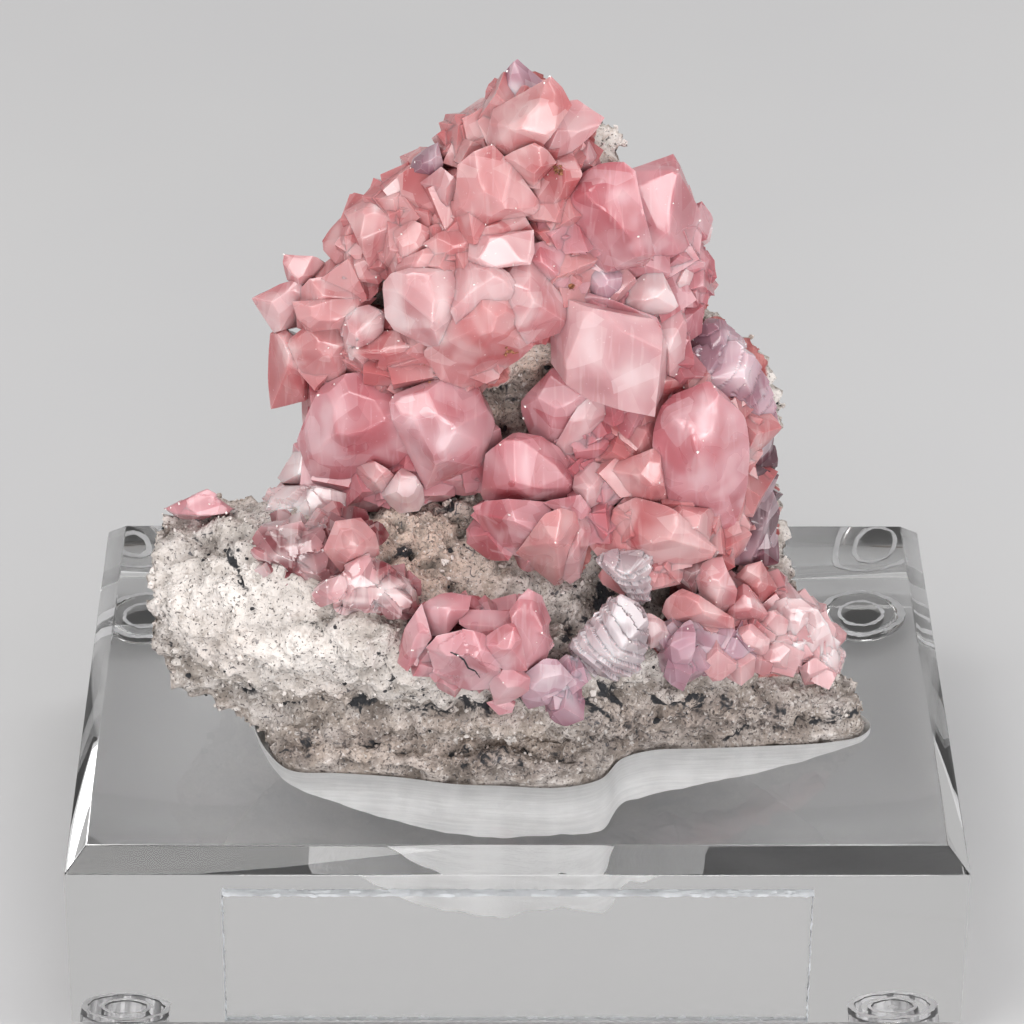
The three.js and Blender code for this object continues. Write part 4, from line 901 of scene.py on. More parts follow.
CRYSTALS = {
    "crown_crystals": {
        "apex": [(517, 61, 2), (507, 70, 1), (500, 88, 1), (487, 104, 0), (502, 111, 3), (531, 98, 4),
            (541, 82, 1), (526, 69, 1), (518, 86, 5)],
        "crown_round": [(496, 110, 2), (523, 97, 4), (548, 81, 2), (558, 91, 3), (567, 107, 4),
            (550, 134, 7), (540, 144, 6), (533, 152, 5), (512, 154, 4), (496, 146, 3), (490, 137, 2),
            (493, 122, 3), (520, 118, 8), (538, 112, 8)],
        "crown_rhomb": [(566, 104, 2), (577, 103, 1), (601, 119, 1), (589, 136, 2), (571, 151, 3),
            (552, 164, 4), (545, 150, 5), (541, 141, 5), (551, 132, 6)],
        "crown_point": [(505, 158, 3), (513, 153, 4), (534, 145, 6), (546, 152, 5), (553, 163, 4),
            (546, 172, 3), (533, 187, 2), (520, 180, 2), (511, 168, 2), (534, 167, 7)],
        "left_flank": [(488, 108, 0), (465, 119, 0), (452, 133, 0), (440, 147, 0), (446, 160, 1),
            (460, 167, 2), (478, 157, 3), (492, 150, 3), (492, 128, 3), (470, 138, 4)],
        "flank_clear": [(440, 147, 0), (452, 142, 2), (475, 155, 4), (458, 168, 3), (446, 161, 2),
            (453, 152, 5)],
        "saddle": [(571, 152, 2), (587, 138, 2), (594, 152, 2), (602, 167, 2), (597, 173, 3),
            (580, 176, 3), (590, 158, 4)],
        "saddle_low": [(533, 188, 1), (545, 174, 2), (556, 164, 2), (571, 154, 2), (580, 176, 3),
            (572, 187, 3), (562, 200, 3), (558, 215, 2), (545, 215, 2), (538, 204, 2), (558, 180, 4)],
    },
    "keystone_crystals": {
        "flank_lilac": [(437, 144, 0), (427, 148, 0), (412, 160, 0), (412, 173, 1), (433, 179, 2),
            (441, 163, 3), (429, 162, 4)],
        "pale_column": [(433, 178, 3), (441, 169, 3), (453, 178, 4), (460, 190, 4), (457, 203, 4),
            (449, 210, 4), (431, 193, 4), (422, 183, 3), (445, 188, 6)],
        "shoulder": [(400, 178, 1), (412, 171, 1), (434, 180, 3), (450, 211, 4), (459, 218, 3),
            (440, 224, 2), (418, 224, 2), (406, 206, 2), (425, 203, 4)],
        "keystone": [(461, 168, 2), (475, 156, 2), (492, 149, 2), (501, 158, 3), (520, 180, 3),
            (537, 204, 3), (529, 212, 3), (512, 218, 2), (497, 222, 2), (481, 228, 2), (462, 223, 1),
            (456, 208, 2), (459, 188, 3), (500, 170, 5), (497, 205, 7), (470, 204, 5)],
        "bright_edge": [(380, 190, 1), (385, 186, 1), (400, 178, 1), (411, 189, 3), (409, 206, 4),
            (402, 218, 3), (395, 217, 3), (385, 204, 2), (398, 195, 5)],
    },
    "left_crystals": {
        "curved_left": [(322, 245, 0), (331, 230, 0), (347, 214, 0), (354, 222, 3), (372, 262, 5),
            (352, 263, 4), (336, 261, 3), (345, 240, 4)],
        "curved_right": [(347, 214, 0), (378, 197, 1), (396, 217, 3), (403, 223, 4), (397, 250, 5),
            (388, 275, 6), (372, 270, 5), (354, 225, 4), (372, 235, 6)],
        "under_keystone": [(426, 244, 2), (440, 233, 2), (463, 227, 2), (476, 232, 2), (474, 246, 3),
            (460, 252, 3), (446, 259, 3), (433, 252, 3), (450, 242, 4)],
        "under_shoulder": [(395, 232, 2), (412, 222, 2), (428, 230, 3), (428, 247, 3), (412, 260, 4),
            (398, 264, 3), (410, 242, 5)],
        "deep_band": [(465, 228, 2), (498, 222, 2), (520, 215, 2), (531, 233, 2), (500, 241, 3),
            (474, 240, 3), (495, 232, 4)],
        "blade_high": [(282, 254, 1), (312, 256, 2), (318, 261, 2), (311, 276, 2), (299, 287, 2),
            (288, 279, 1), (297, 268, 4)],
        "blade_left": [(253, 296, 1), (270, 288, 1), (294, 282, 2), (302, 292, 3), (297, 301, 3),
            (290, 312, 3), (280, 328, 2), (274, 330, 1), (262, 313, 1), (278, 304, 4)],
        "blade_low": [(272, 332, 0), (280, 330, 1), (292, 341, 3), (300, 360, 3), (302, 397, 2),
            (272, 404, 1), (268, 365, 0), (284, 362, 4)],
        "slab_back": [(333, 270, 1), (345, 262, 2), (362, 257, 2), (366, 268, 3), (383, 277, 4),
            (376, 283, 4), (340, 277, 3), (358, 268, 4)],
        "slab_high": [(302, 290, 3), (312, 280, 3), (338, 275, 3), (376, 281, 4), (374, 292, 5),
            (366, 300, 6), (330, 301, 6), (300, 303, 4)],
        "slab_mid": [(297, 303, 4), (345, 300, 6), (373, 299, 6), (362, 312, 6), (350, 320, 6),
            (342, 327, 6), (308, 330, 5), (301, 318, 5), (330, 312, 8)],
        "slab_low": [(306, 330, 4), (342, 327, 5), (350, 341, 5), (346, 355, 5), (337, 372, 5),
            (340, 383, 4), (325, 388, 3), (312, 382, 3), (297, 362, 3), (291, 350, 3), (292, 341, 3),
            (325, 350, 7)],
        "broken_white": [(347, 320, 5), (353, 311, 6), (366, 305, 6), (378, 309, 6), (385, 318, 6),
            (383, 332, 6), (368, 342, 6), (352, 357, 5), (348, 345, 5), (346, 333, 5), (362, 325, 8)],
        "under_broken": [(350, 352, 3), (352, 358, 3), (368, 369, 3), (386, 368, 3), (398, 352, 4),
            (425, 351, 4), (429, 340, 4), (418, 333, 4), (385, 334, 4), (366, 342, 4), (390, 348, 6)],
        "bright_front": [(387, 285, 5), (394, 277, 5), (410, 272, 5), (448, 272, 5), (454, 286, 6),
            (452, 312, 6), (447, 327, 6), (439, 349, 5), (424, 342, 5), (408, 334, 5), (396, 328, 5),
            (388, 316, 5), (386, 300, 5), (422, 286, 9), (432, 325, 9)],
        "upper_right": [(451, 285, 4), (456, 272, 3), (470, 263, 3), (492, 265, 4), (506, 274, 5),
            (513, 285, 6), (508, 297, 6), (487, 295, 7), (470, 306, 7), (458, 321, 6), (453, 308, 6),
            (484, 280, 8)],
        "right_fan": [(505, 275, 4), (514, 263, 3), (531, 260, 3), (549, 283, 3), (559, 298, 3),
            (567, 323, 3), (562, 328, 3), (548, 333, 4), (527, 340, 5), (518, 326, 7), (512, 315, 7),
            (507, 295, 7), (530, 300, 8)],
        "big_low": [(487, 294, 7), (500, 297, 6), (514, 317, 6), (529, 344, 5), (518, 356, 4),
            (500, 368, 3), (488, 378, 2), (475, 387, 2), (462, 383, 2), (440, 375, 3), (430, 366, 3),
            (430, 350, 4), (446, 334, 5), (460, 312, 6), (472, 301, 6), (495, 322, 10)],
        "flat_plate": [(472, 238, 3), (500, 238, 4), (530, 232, 3), (531, 252, 4), (527, 263, 5),
            (505, 264, 5), (488, 268, 5), (470, 262, 4), (475, 250, 4), (505, 250, 6)],
        "round_right": [(530, 247, 3), (545, 243, 3), (559, 250, 3), (570, 264, 2), (573, 285, 2),
            (560, 298, 2), (548, 284, 3), (537, 268, 4), (530, 260, 4), (552, 266, 6)],
        "between": [(396, 262, 3), (412, 256, 4), (430, 248, 4), (448, 258, 4), (452, 272, 4),
            (430, 275, 4), (400, 276, 4), (425, 262, 6)],
        "thin_plate": [(380, 384, 2), (384, 370, 3), (398, 362, 4), (412, 352, 4), (430, 352, 4),
            (433, 368, 3), (404, 379, 2)],
    },
    "twin_crystals": {
        "twin_left": [(558, 215, 3), (562, 201, 3), (573, 186, 3), (590, 174, 3), (606, 168, 3),
            (622, 168, 4), (632, 176, 5), (640, 214, 7), (643, 238, 7), (650, 251, 6), (640, 264, 4),
            (620, 272, 3), (602, 270, 3), (590, 258, 3), (575, 240, 3), (590, 195, 8), (633, 249, 9),
            (605, 215, 9)],
        "twin_right": [(628, 175, 4), (639, 172, 3), (650, 170, 2), (672, 160, 1), (679, 171, 3),
            (690, 195, 2), (698, 214, 1), (696, 222, 2), (688, 240, 3), (679, 250, 4), (660, 257, 5),
            (651, 252, 7), (643, 240, 7), (640, 214, 8), (633, 192, 7), (676, 174, 6), (668, 232, 8)],
        "right_knob": [(698, 215, 0), (706, 217, 0), (712, 228, 0), (709, 241, 0), (700, 247, 1),
            (690, 240, 2), (694, 226, 2), (702, 230, 2)],
        "lilac_middle": [(583, 263, 1), (590, 257, 1), (603, 268, 2), (620, 273, 2), (618, 291, 2),
            (607, 301, 2), (590, 296, 2), (582, 280, 1), (603, 282, 4)],
        "deep_hollow": [(540, 212, 0), (560, 205, 0), (576, 240, 1), (590, 262, 1), (575, 262, 1),
            (560, 247, 1), (545, 240, 1), (532, 232, 0), (556, 228, 2)],
    },
    "pendant_crystals": {
        "pendant": [(663, 280, 3), (672, 270, 3), (697, 255, 2), (703, 270, 2), (709, 282, 1),
            (703, 296, 2), (699, 306, 2), (686, 316, 3), (678, 310, 4), (671, 298, 4), (685, 283, 6)],
        "grey_clear": [(619, 301, 2), (630, 286, 3), (645, 275, 3), (660, 273, 3), (668, 289, 4),
            (676, 308, 3), (655, 315, 3), (640, 312, 4), (628, 307, 4), (648, 293, 6)],
    },
    "square_crystals": {
        "square": [(571, 310, 7), (612, 317, 8), (653, 327, 7), (656, 350, 7), (650, 410, 6),
            (620, 404, 7), (590, 394, 7), (571, 381, 7), (567, 302, 2), (645, 318, 2), (662, 345, 2),
            (660, 385, 2), (556, 335, 3), (557, 362, 3), (612, 355, 9)],
        "band": [(567, 288, 2), (590, 297, 3), (620, 302, 3), (650, 313, 3), (655, 326, 3), (571, 312, 3),
            (562, 300, 2)],
        "grey_blade": [(655, 319, 2), (661, 313, 2), (684, 312, 2), (685, 340, 3), (680, 379, 3),
            (668, 375, 4), (658, 366, 3), (668, 345, 5)],
        "under_left": [(524, 402, 3), (545, 378, 3), (558, 368, 3), (575, 380, 4), (588, 393, 5),
            (580, 408, 5), (566, 430, 4), (556, 441, 3), (546, 441, 3), (533, 433, 2), (525, 415, 2),
            (560, 395, 7)],
        "under_middle": [(588, 393, 4), (602, 400, 3), (613, 418, 2), (600, 425, 2), (590, 438, 2),
            (576, 450, 2), (563, 455, 2), (556, 447, 2), (561, 434, 3), (577, 412, 5), (592, 412, 5)],
        "beside": [(656, 371, 2), (668, 377, 3), (682, 387, 2), (670, 394, 2), (652, 412, 2),
            (648, 409, 2), (655, 390, 4)],
        "under_lip": [(610, 404, 2), (628, 407, 3), (650, 411, 3), (643, 417, 2), (628, 416, 2),
            (615, 416, 2), (618, 400, 2)],
    },
    "pair_crystals": {
        "pair_left": [(325, 389, 3), (345, 380, 3), (362, 378, 3), (380, 386, 4), (397, 399, 5),
            (402, 428, 7), (410, 452, 6), (418, 470, 3), (400, 470, 3), (385, 464, 4), (358, 460, 5),
            (354, 478, 4), (345, 491, 2), (330, 482, 2), (318, 478, 2), (310, 462, 2), (303, 440, 1),
            (310, 420, 2), (318, 402, 2), (372, 420, 9), (345, 430, 8), (328, 440, 6)],
        "pair_right": [(394, 405, 6), (399, 397, 5), (411, 390, 4), (435, 382, 3), (455, 376, 2),
            (469, 383, 2), (479, 393, 2), (488, 408, 2), (489, 425, 2), (484, 443, 3), (476, 462, 3),
            (445, 474, 3), (427, 483, 3), (414, 464, 4), (403, 440, 6), (397, 420, 7), (425, 405, 10),
            (450, 430, 10), (438, 455, 9)],
        "pair_side": [(466, 448, 3), (485, 442, 1), (484, 455, 0), (478, 468, 0), (460, 473, 1),
            (450, 470, 2)],
        "back_strip": [(302, 387, 0), (314, 383, 1), (327, 388, 2), (320, 404, 2), (309, 426, 1),
            (303, 434, 0), (302, 410, 0), (314, 405, 2)],
        "hanging": [(357, 461, 3), (372, 462, 4), (386, 470, 5), (397, 481, 4), (390, 492, 3),
            (384, 499, 2), (371, 499, 1), (362, 492, 1), (358, 477, 2), (376, 480, 6)],
        "clear_small": [(383, 494, 4), (390, 481, 5), (402, 470, 5), (413, 476, 5), (421, 487, 4),
            (422, 500, 3), (417, 509, 3), (400, 511, 3), (391, 504, 3), (404, 488, 7)],
        "left_low": [(303, 440, 0), (312, 452, 2), (311, 470, 2), (318, 478, 2), (300, 482, 2),
            (284, 482, 1), (279, 477, 0), (285, 466, 0), (298, 459, 0), (300, 468, 4)],
        "behind_small": [(417, 478, 2), (430, 482, 2), (441, 482, 1), (438, 496, 0), (422, 505, 1),
            (416, 500, 2)],
    },
    "fan_crystals": {
        "fan_top": [(487, 452, 3), (500, 440, 3), (520, 436, 3), (540, 440, 3), (556, 450, 2),
            (568, 465, 2), (575, 477, 2), (579, 490, 2), (566, 497, 4), (530, 497, 6), (512, 503, 4),
            (490, 500, 3), (484, 488, 3), (486, 470, 3), (513, 446, 6), (524, 478, 9), (560, 480, 6)],
        "fan_left": [(476, 508, 3), (490, 502, 4), (520, 500, 6), (547, 503, 6), (550, 517, 7),
            (538, 533, 6), (520, 553, 3), (500, 549, 2), (487, 532, 2), (488, 520, 3), (515, 520, 7)],
        "fan_point": [(519, 552, 3), (532, 538, 6), (545, 517, 7), (560, 512, 6), (576, 516, 4),
            (577, 535, 3), (570, 560, 2), (560, 585, 0), (549, 578, 1), (535, 568, 2), (556, 545, 8),
            (552, 518, 8)],
        "fan_right": [(545, 503, 5), (562, 498, 4), (579, 496, 3), (591, 512, 2), (580, 518, 4),
            (562, 514, 6)],
        "fan_lilac": [(574, 488, 2), (577, 472, 1), (593, 465, 0), (606, 469, 0), (611, 480, 0),
            (606, 500, 0), (600, 522, 0), (590, 523, 1), (583, 508, 2), (590, 490, 4)],
        "fan_low": [(576, 517, 3), (589, 523, 2), (589, 540, 1), (584, 560, 1), (580, 575, 1),
            (571, 581, 1), (562, 575, 2), (570, 556, 4), (578, 545, 4)],
    },
    "egg_crystals": {
        "egg": [(658, 428, 4), (665, 411, 4), (677, 397, 4), (690, 390, 4), (705, 386, 4), (720, 393, 4),
            (733, 406, 4), (742, 425, 4), (745, 450, 4), (743, 478, 4), (738, 503, 3), (731, 517, 2),
            (718, 522, 2), (700, 518, 3), (682, 508, 4), (668, 495, 5), (661, 472, 5), (657, 450, 5),
            (690, 420, 9), (705, 400, 7), (700, 465, 10), (715, 440, 9)],
        "left_of_egg": [(612, 471, 2), (622, 463, 2), (640, 456, 3), (657, 450, 4), (661, 470, 5),
            (666, 486, 4), (664, 500, 3), (652, 510, 2), (638, 500, 2), (625, 492, 2), (648, 478, 7)],
        "below_egg": [(613, 530, 1), (622, 508, 1), (636, 500, 2), (652, 510, 4), (668, 508, 5),
            (672, 525, 6), (690, 535, 5), (716, 552, 3), (690, 561, 2), (652, 569, 2), (632, 558, 2),
            (614, 550, 1), (662, 540, 7)],
        "below_right": [(668, 514, 4), (680, 507, 4), (714, 511, 3), (711, 526, 3), (707, 540, 4),
            (690, 540, 5), (674, 526, 6), (692, 522, 7)],
        "deep_left": [(620, 428, 1), (640, 416, 1), (657, 418, 2), (659, 448, 3), (640, 457, 3),
            (621, 464, 2), (608, 455, 1), (640, 438, 4)],
    },
    "edge_crystals_upper": {
        "mauve_top": [(686, 350, 1), (700, 335, 0), (709, 320, 0), (722, 322, 0), (733, 332, 0),
            (746, 346, 0), (735, 350, 2), (715, 350, 3), (700, 358, 2), (712, 338, 3)],
        "mauve_middle": [(688, 358, 2), (700, 348, 2), (716, 342, 3), (736, 345, 2), (752, 360, 1),
            (765, 385, 0), (771, 408, 0), (772, 424, 0), (755, 420, 2), (735, 405, 3), (720, 392, 3),
            (705, 386, 3), (691, 388, 2), (735, 375, 5), (715, 365, 5)],
        "purple_upper": [(742, 424, 3), (735, 408, 3), (755, 418, 3), (773, 424, 1), (771, 443, 1),
            (769, 462, 1), (758, 468, 2), (746, 464, 3), (744, 445, 3), (757, 440, 5)],
    },
    "edge_crystals_lower": {
        "purple_lower": [(744, 480, 3), (765, 477, 2), (772, 498, 1), (777, 513, 1), (775, 531, 1),
            (768, 556, 1), (750, 562, 3), (735, 560, 3), (728, 542, 3), (727, 524, 3), (738, 505, 3),
            (752, 520, 6)],
    },
    "corner_crystals": {
        "clear_point": [(698, 580, 5), (704, 565, 5), (724, 555, 4), (729, 570, 6), (735, 590, 6),
            (733, 605, 5), (727, 616, 4), (717, 616, 4), (708, 605, 4), (700, 596, 4), (715, 585, 8)],
        "round_pink": [(736, 578, 3), (747, 567, 3), (761, 563, 3), (770, 574, 2), (776, 588, 2),
            (771, 598, 2), (761, 604, 3), (750, 592, 4), (756, 580, 6)],
        "middle_pink": [(733, 592, 4), (745, 585, 4), (761, 602, 3), (766, 615, 3), (755, 625, 3),
            (740, 626, 3), (727, 618, 4), (733, 605, 5), (746, 605, 6)],
        "left_pink": [(665, 612, 2), (669, 600, 2), (682, 590, 2), (700, 598, 3), (712, 612, 4),
            (730, 618, 3), (731, 630, 2), (715, 631, 2), (698, 627, 2), (688, 622, 2), (674, 624, 2),
            (695, 610, 5)],
        "deep_pink": [(670, 572, 1), (690, 561, 1), (717, 552, 2), (708, 564, 3), (699, 580, 3),
            (693, 596, 2), (681, 590, 1), (675, 580, 1), (690, 578, 4)],
        "druse_top": [(765, 600, 2), (778, 588, 1), (788, 584, 0), (800, 598, 1), (806, 612, 2),
            (790, 620, 3), (772, 618, 3), (785, 603, 5)],
        "druse_right": [(800, 600, 1), (810, 605, 0), (822, 620, 0), (815, 635, 1), (806, 645, 2),
            (793, 640, 3), (790, 622, 3), (806, 622, 5)],
        "druse_middle": [(760, 615, 3), (775, 612, 3), (788, 622, 3), (782, 640, 3), (768, 642, 3),
            (755, 630, 3), (770, 627, 5)],
        "druse_left": [(735, 630, 2), (752, 625, 3), (768, 640, 3), (765, 655, 2), (745, 655, 1),
            (735, 645, 1), (750, 640, 5)],
        "druse_low": [(762, 650, 2), (778, 643, 3), (788, 650, 3), (785, 668, 2), (770, 673, 1),
            (758, 665, 1), (773, 657, 5)],
        "druse_tip": [(815, 636, 1), (828, 640, 1), (840, 652, 1), (838, 662, 1), (822, 660, 3),
            (814, 650, 3), (826, 648, 4)],
        "druse_base": [(735, 640, 1), (765, 600, 1), (800, 602, 1), (822, 622, 1), (842, 655, 1),
            (826, 684, 1), (800, 684, 1), (760, 672, 1), (790, 645, 3)],
        "druse_low_right": [(790, 640, 2), (806, 645, 2), (812, 655, 2), (800, 668, 1), (787, 662, 1),
            (798, 653, 4)],
        "druse_foot": [(800, 668, 1), (815, 658, 2), (828, 668, 1), (822, 682, 0), (805, 684, 0),
            (812, 671, 3)],
    },
    "lilac_crystals": {
        "lilac_left": [(654, 660, 0), (668, 642, 1), (684, 625, 1), (690, 622, 1), (696, 640, 3),
            (690, 660, 2), (675, 672, 0), (662, 670, 0), (678, 650, 5)],
        "lilac_right": [(696, 630, 1), (710, 632, 1), (735, 640, 0), (748, 655, 0), (733, 667, 0),
            (705, 674, 0), (690, 664, 1), (712, 650, 4)],
    },
    "small_crystal": {
        "small_clear": [(638, 618, 3), (650, 615, 3), (663, 623, 2), (667, 633, 2), (657, 645, 2),
            (650, 647, 2), (644, 632, 3), (653, 630, 5)],
    },
    "flaky_crystals": {
        "flaky": [(610, 604, 3), (626, 599, 3), (638, 612, 3), (642, 626, 3), (641, 650, 2), (634, 668, 2),
            (615, 674, 2), (600, 672, 2), (585, 661, 3), (575, 646, 3), (592, 640, 4), (612, 634, 5),
            (615, 650, 6)],
    },
    "cleaved_crystal": {
        "cleaved": [(600, 560, 3), (615, 554, 3), (648, 555, 2), (649, 575, 2), (646, 596, 2),
            (636, 600, 2), (625, 590, 4), (614, 576, 5), (625, 568, 6)],
    },
    "mauve_crystal": {
        "mauve_low": [(527, 674, 2), (545, 660, 2), (556, 661, 2), (571, 678, 1), (560, 690, 1),
            (548, 702, 1), (530, 706, 1), (522, 695, 2), (543, 680, 4)],
    },
    "rose_crystals": {
        "petal_top": [(420, 612, 2), (426, 603, 2), (440, 596, 1), (455, 594, 1), (468, 598, 1),
            (466, 610, 3), (455, 622, 4), (446, 633, 5), (430, 634, 4), (423, 625, 3), (445, 610, 5)],
        "petal_left": [(421, 606, 1), (414, 622, 1), (405, 630, 1), (403, 646, 1), (399, 660, 0),
            (408, 668, 1), (421, 650, 3), (430, 638, 4), (425, 622, 3), (414, 642, 4)],
        "upper_middle": [(460, 612, 3), (480, 608, 2), (505, 612, 2), (515, 619, 3), (511, 629, 5),
            (488, 637, 6), (474, 632, 6), (462, 624, 5)],
        "body": [(430, 650, 4), (440, 638, 5), (462, 632, 6), (482, 636, 7), (492, 646, 7), (494, 662, 6),
            (500, 676, 4), (489, 686, 2), (470, 687, 2), (450, 681, 2), (437, 668, 3), (465, 655, 8)],
        "bright_face": [(484, 640, 7), (500, 628, 7), (513, 625, 7), (520, 640, 7), (525, 668, 5),
            (510, 669, 5), (500, 666, 6), (492, 655, 7), (508, 645, 9)],
        "petal_right": [(509, 617, 4), (520, 601, 3), (532, 590, 1), (541, 600, 1), (549, 622, 1),
            (551, 640, 1), (545, 656, 2), (531, 670, 3), (521, 678, 4), (525, 662, 6), (520, 640, 7),
            (515, 625, 6), (533, 630, 7)],
        "bottom": [(495, 675, 4), (501, 668, 4), (519, 670, 4), (528, 678, 3), (527, 690, 2),
            (515, 700, 1), (496, 703, 1), (489, 691, 2), (510, 684, 5)],
        "bottom_red": [(488, 703, 0), (515, 701, 1), (511, 712, 0), (499, 714, 0), (500, 698, 1)],
    },
    "shelf_crystals": {
        "fracture": [(250, 527, 1), (264, 536, 2), (300, 536, 3), (325, 527, 3), (340, 521, 2),
            (328, 545, 4), (330, 562, 3), (346, 573, 2), (334, 583, 2), (318, 600, 1), (308, 590, 1),
            (290, 572, 1), (270, 562, 1), (255, 545, 1), (300, 560, 2)],
    },
    "shelf_druse": {
        "druse_back": [(262, 497, 0), (276, 482, 0), (286, 486, 1), (300, 487, 2), (325, 485, 2),
            (348, 493, 1), (343, 511, 2), (338, 522, 3), (320, 518, 5), (300, 532, 5), (283, 535, 4),
            (262, 530, 3), (250, 518, 1), (258, 505, 1), (300, 508, 6)],
    },
    "salmon_crystal": {
        "salmon": [(326, 549, 5), (337, 524, 4), (360, 520, 3), (373, 535, 3), (377, 553, 3),
            (360, 563, 4), (343, 571, 4), (354, 547, 8)],
    },
    "broken_crystals": {
        "broken": [(345, 574, 3), (360, 565, 4), (378, 556, 3), (391, 571, 2), (405, 582, 1),
            (421, 603, 0), (415, 619, 1), (405, 612, 3), (372, 607, 4), (342, 606, 4), (335, 598, 3),
            (378, 580, 7)],
        "sliver": [(312, 598, 2), (320, 585, 2), (335, 578, 3), (350, 571, 3), (345, 588, 4),
            (335, 600, 3), (322, 606, 2)],
    },
    "lobe_crystal": {
        "lobe": [(163, 507, 1), (180, 500, 1), (192, 496, 1), (206, 489, 1), (218, 497, 1), (232, 508, 1),
            (225, 513, 2), (200, 516, 3), (178, 515, 2), (205, 505, 4)],
    },
}


# ---------------------------------------------------------------- crystal shapes

SPREAD = 1.12                  # a crystal is this much wider than listed, so that neighbours meet
STAND_SHARE = 0.8              # a listed stand of 1 is this many millimetres
SEAT_LIFT = 1.8                # and every corner stands out this much further
ROOT_DEPTH = 3                 # how deep a crystal is rooted behind the rock's face
ROOT_SHARE = 0.94              # how wide the root is, against the crystal
LEANING_ROOT_SHARE = 0.7
ROOT_CORNERS = 5               # corners of a root, about
# Crystals that lean out past the rock's edge: the sheet point their root is centred on, and the
# depth of the rock's face there.
ROOTS = {
    "blade_high": (330, 280, 1),
    "blade_left": (325, 305, 1),
    "blade_low": (325, 360, 1),
    "right_knob": (676, 232, 3),
    "flank_lilac": (440, 172, -1),
    "lobe": (205, 512, -4.6),
}
FLAT = 13                      # facets that turn less than this, in degrees, are one face
CREASED = 18                   # and those that turn more than this meet in an edge
OUTLINE_CREASE = 1.0           # how sharp a crystal's outline is, as seen along the sight line
RIDGE_CREASE = 0.9             # and a ridge between two of its front faces
# Rounded crystals, whose ridges are only hinted at.
SOFT = ("twin_left", "egg", "round_right", "petal_top", "petal_right", "curved_left")
SOFT_CREASED = 50
BENT = -0.88                   # an outline that bends more than this (a cosine) has a pointed corner
FRONT = 0.3                    # how squarely a front face is turned to the eye, at least
SMALL = 40                     # crystals smaller than this, in sheet units, glow less deep
MIDDLING = 50                  # those at least this large have a finer mesh
LARGE = 110                    # and these a finer one still
EDGE_WIDTH = 0.05              # half the width of the bevelled strip along an edge, painted with a highlight
UNEVEN = 0.07                  # how uneven a grown face is, in mm
UNEVEN_LUMP = 3.5
SMOOTH = 20                    # edges that turn less than this, in degrees, are shaded smoothly
BROKEN_SMOOTH = 14             # and this, on cleaved and splintered crystals
FACET_TILT = 0.8               # how much facets are turned from the eye
FACETS = 7                     # small facets ground off each crystal's front
FACET_DEPTH = 0.08             # how deep they go, against the crystal's thickness
# Crystals broken across, in sharp glassy chips: (how many, how deep).
CHIPPED = {
    "broken_white": (12, 0.08), "fracture": (26, 0.12), "druse_back": (24, 0.12), "broken": (22, 0.11),
    "sliver": (9, 0.1), "mauve_middle": (16, 0.08), "mauve_top": (12, 0.1), "purple_lower": (14, 0.1),
    "purple_upper": (12, 0.1), "mauve_low": (12, 0.1), "lobe": (9, 0.08), "lilac_left": (12, 0.1),
    "lilac_right": (14, 0.1), "under_broken": (8, 0.07), "bright_front": (9, 0.06), "body": (9, 0.07),
    "pair_right": (9, 0.06), "pair_left": (9, 0.055), "druse_base": (14, 0.1), "cleaved": (6, 0.06),
    "flaky": (8, 0.08), "hanging": (7, 0.07), "grey_clear": (8, 0.08), "egg": (8, 0.045),
    "twin_left": (6, 0.05), "twin_right": (6, 0.05), "left_of_egg": (6, 0.06),
}
# Crystals that end in thin cleavage plates: (a plate's thickness, its step, in mm, and its way).
PLATED = {
    "flaky": (1.0, 0.4, (0.75, 0.2, 0.63)), "cleaved": (0.9, 0.32, (0.5, -0.3, 0.81)),
    "mauve_middle": (1.4, 0.22, (0.8, 0.1, -0.6)), "mauve_top": (1.3, 0.18, (0.6, 0.2, -0.77)),
}
# Crystals that are broken open: (splintery faces, how far they stand out, in mm).
SHATTERED = {
    "fracture": (60, 0.7), "druse_back": (40, 0.6), "broken": (50, 0.6), "broken_white": (26, 0.5),
    "sliver": (20, 0.4), "druse_base": (50, 0.5), "lobe": (16, 0.3), "body": (26, 0.22),
    "under_broken": (18, 0.3),
}


def face_depth(tree, across, down):
    """The depth of the rock's face behind a sheet point, or behind the nearest one that has rock."""
    for reach in range(0, 60, 3):
        for turn in range(12 if reach else 1):
            angle = turn * math.pi / 6
            place, _ = seat(tree, across + reach * math.cos(angle), down + reach * math.sin(angle))
            if place is not None:
                return place.y / MM - BLOCK_MIDDLE.y
    raise ValueError("no rock near this crystal")


def crystal_points(name, corners, tree):
    """A crystal's corner points: the ones that show, and its root inside the rock."""
    middle = [sum(c[k] for c in corners) / len(corners) for k in (0, 1)]
    face = ROOTS[name][2] if name in ROOTS else face_depth(tree, *middle)
    centre = ROOTS.get(name, middle)
    share = LEANING_ROOT_SHARE if name in ROOTS else ROOT_SHARE
    step = math.ceil(len(corners) / ROOT_CORNERS)
    points = []
    for across, down, stand in corners:
        depth = face - stand * STAND_SHARE - SEAT_LIFT
        points.append(at(middle[0] + (across - middle[0]) * SPREAD,
                         middle[1] + (down - middle[1]) * SPREAD, depth))
    for across, down, _ in corners[::step]:
        points.append(at(centre[0] + (across - middle[0]) * share,
                         centre[1] + (down - middle[1]) * share, face + ROOT_DEPTH))
    return points


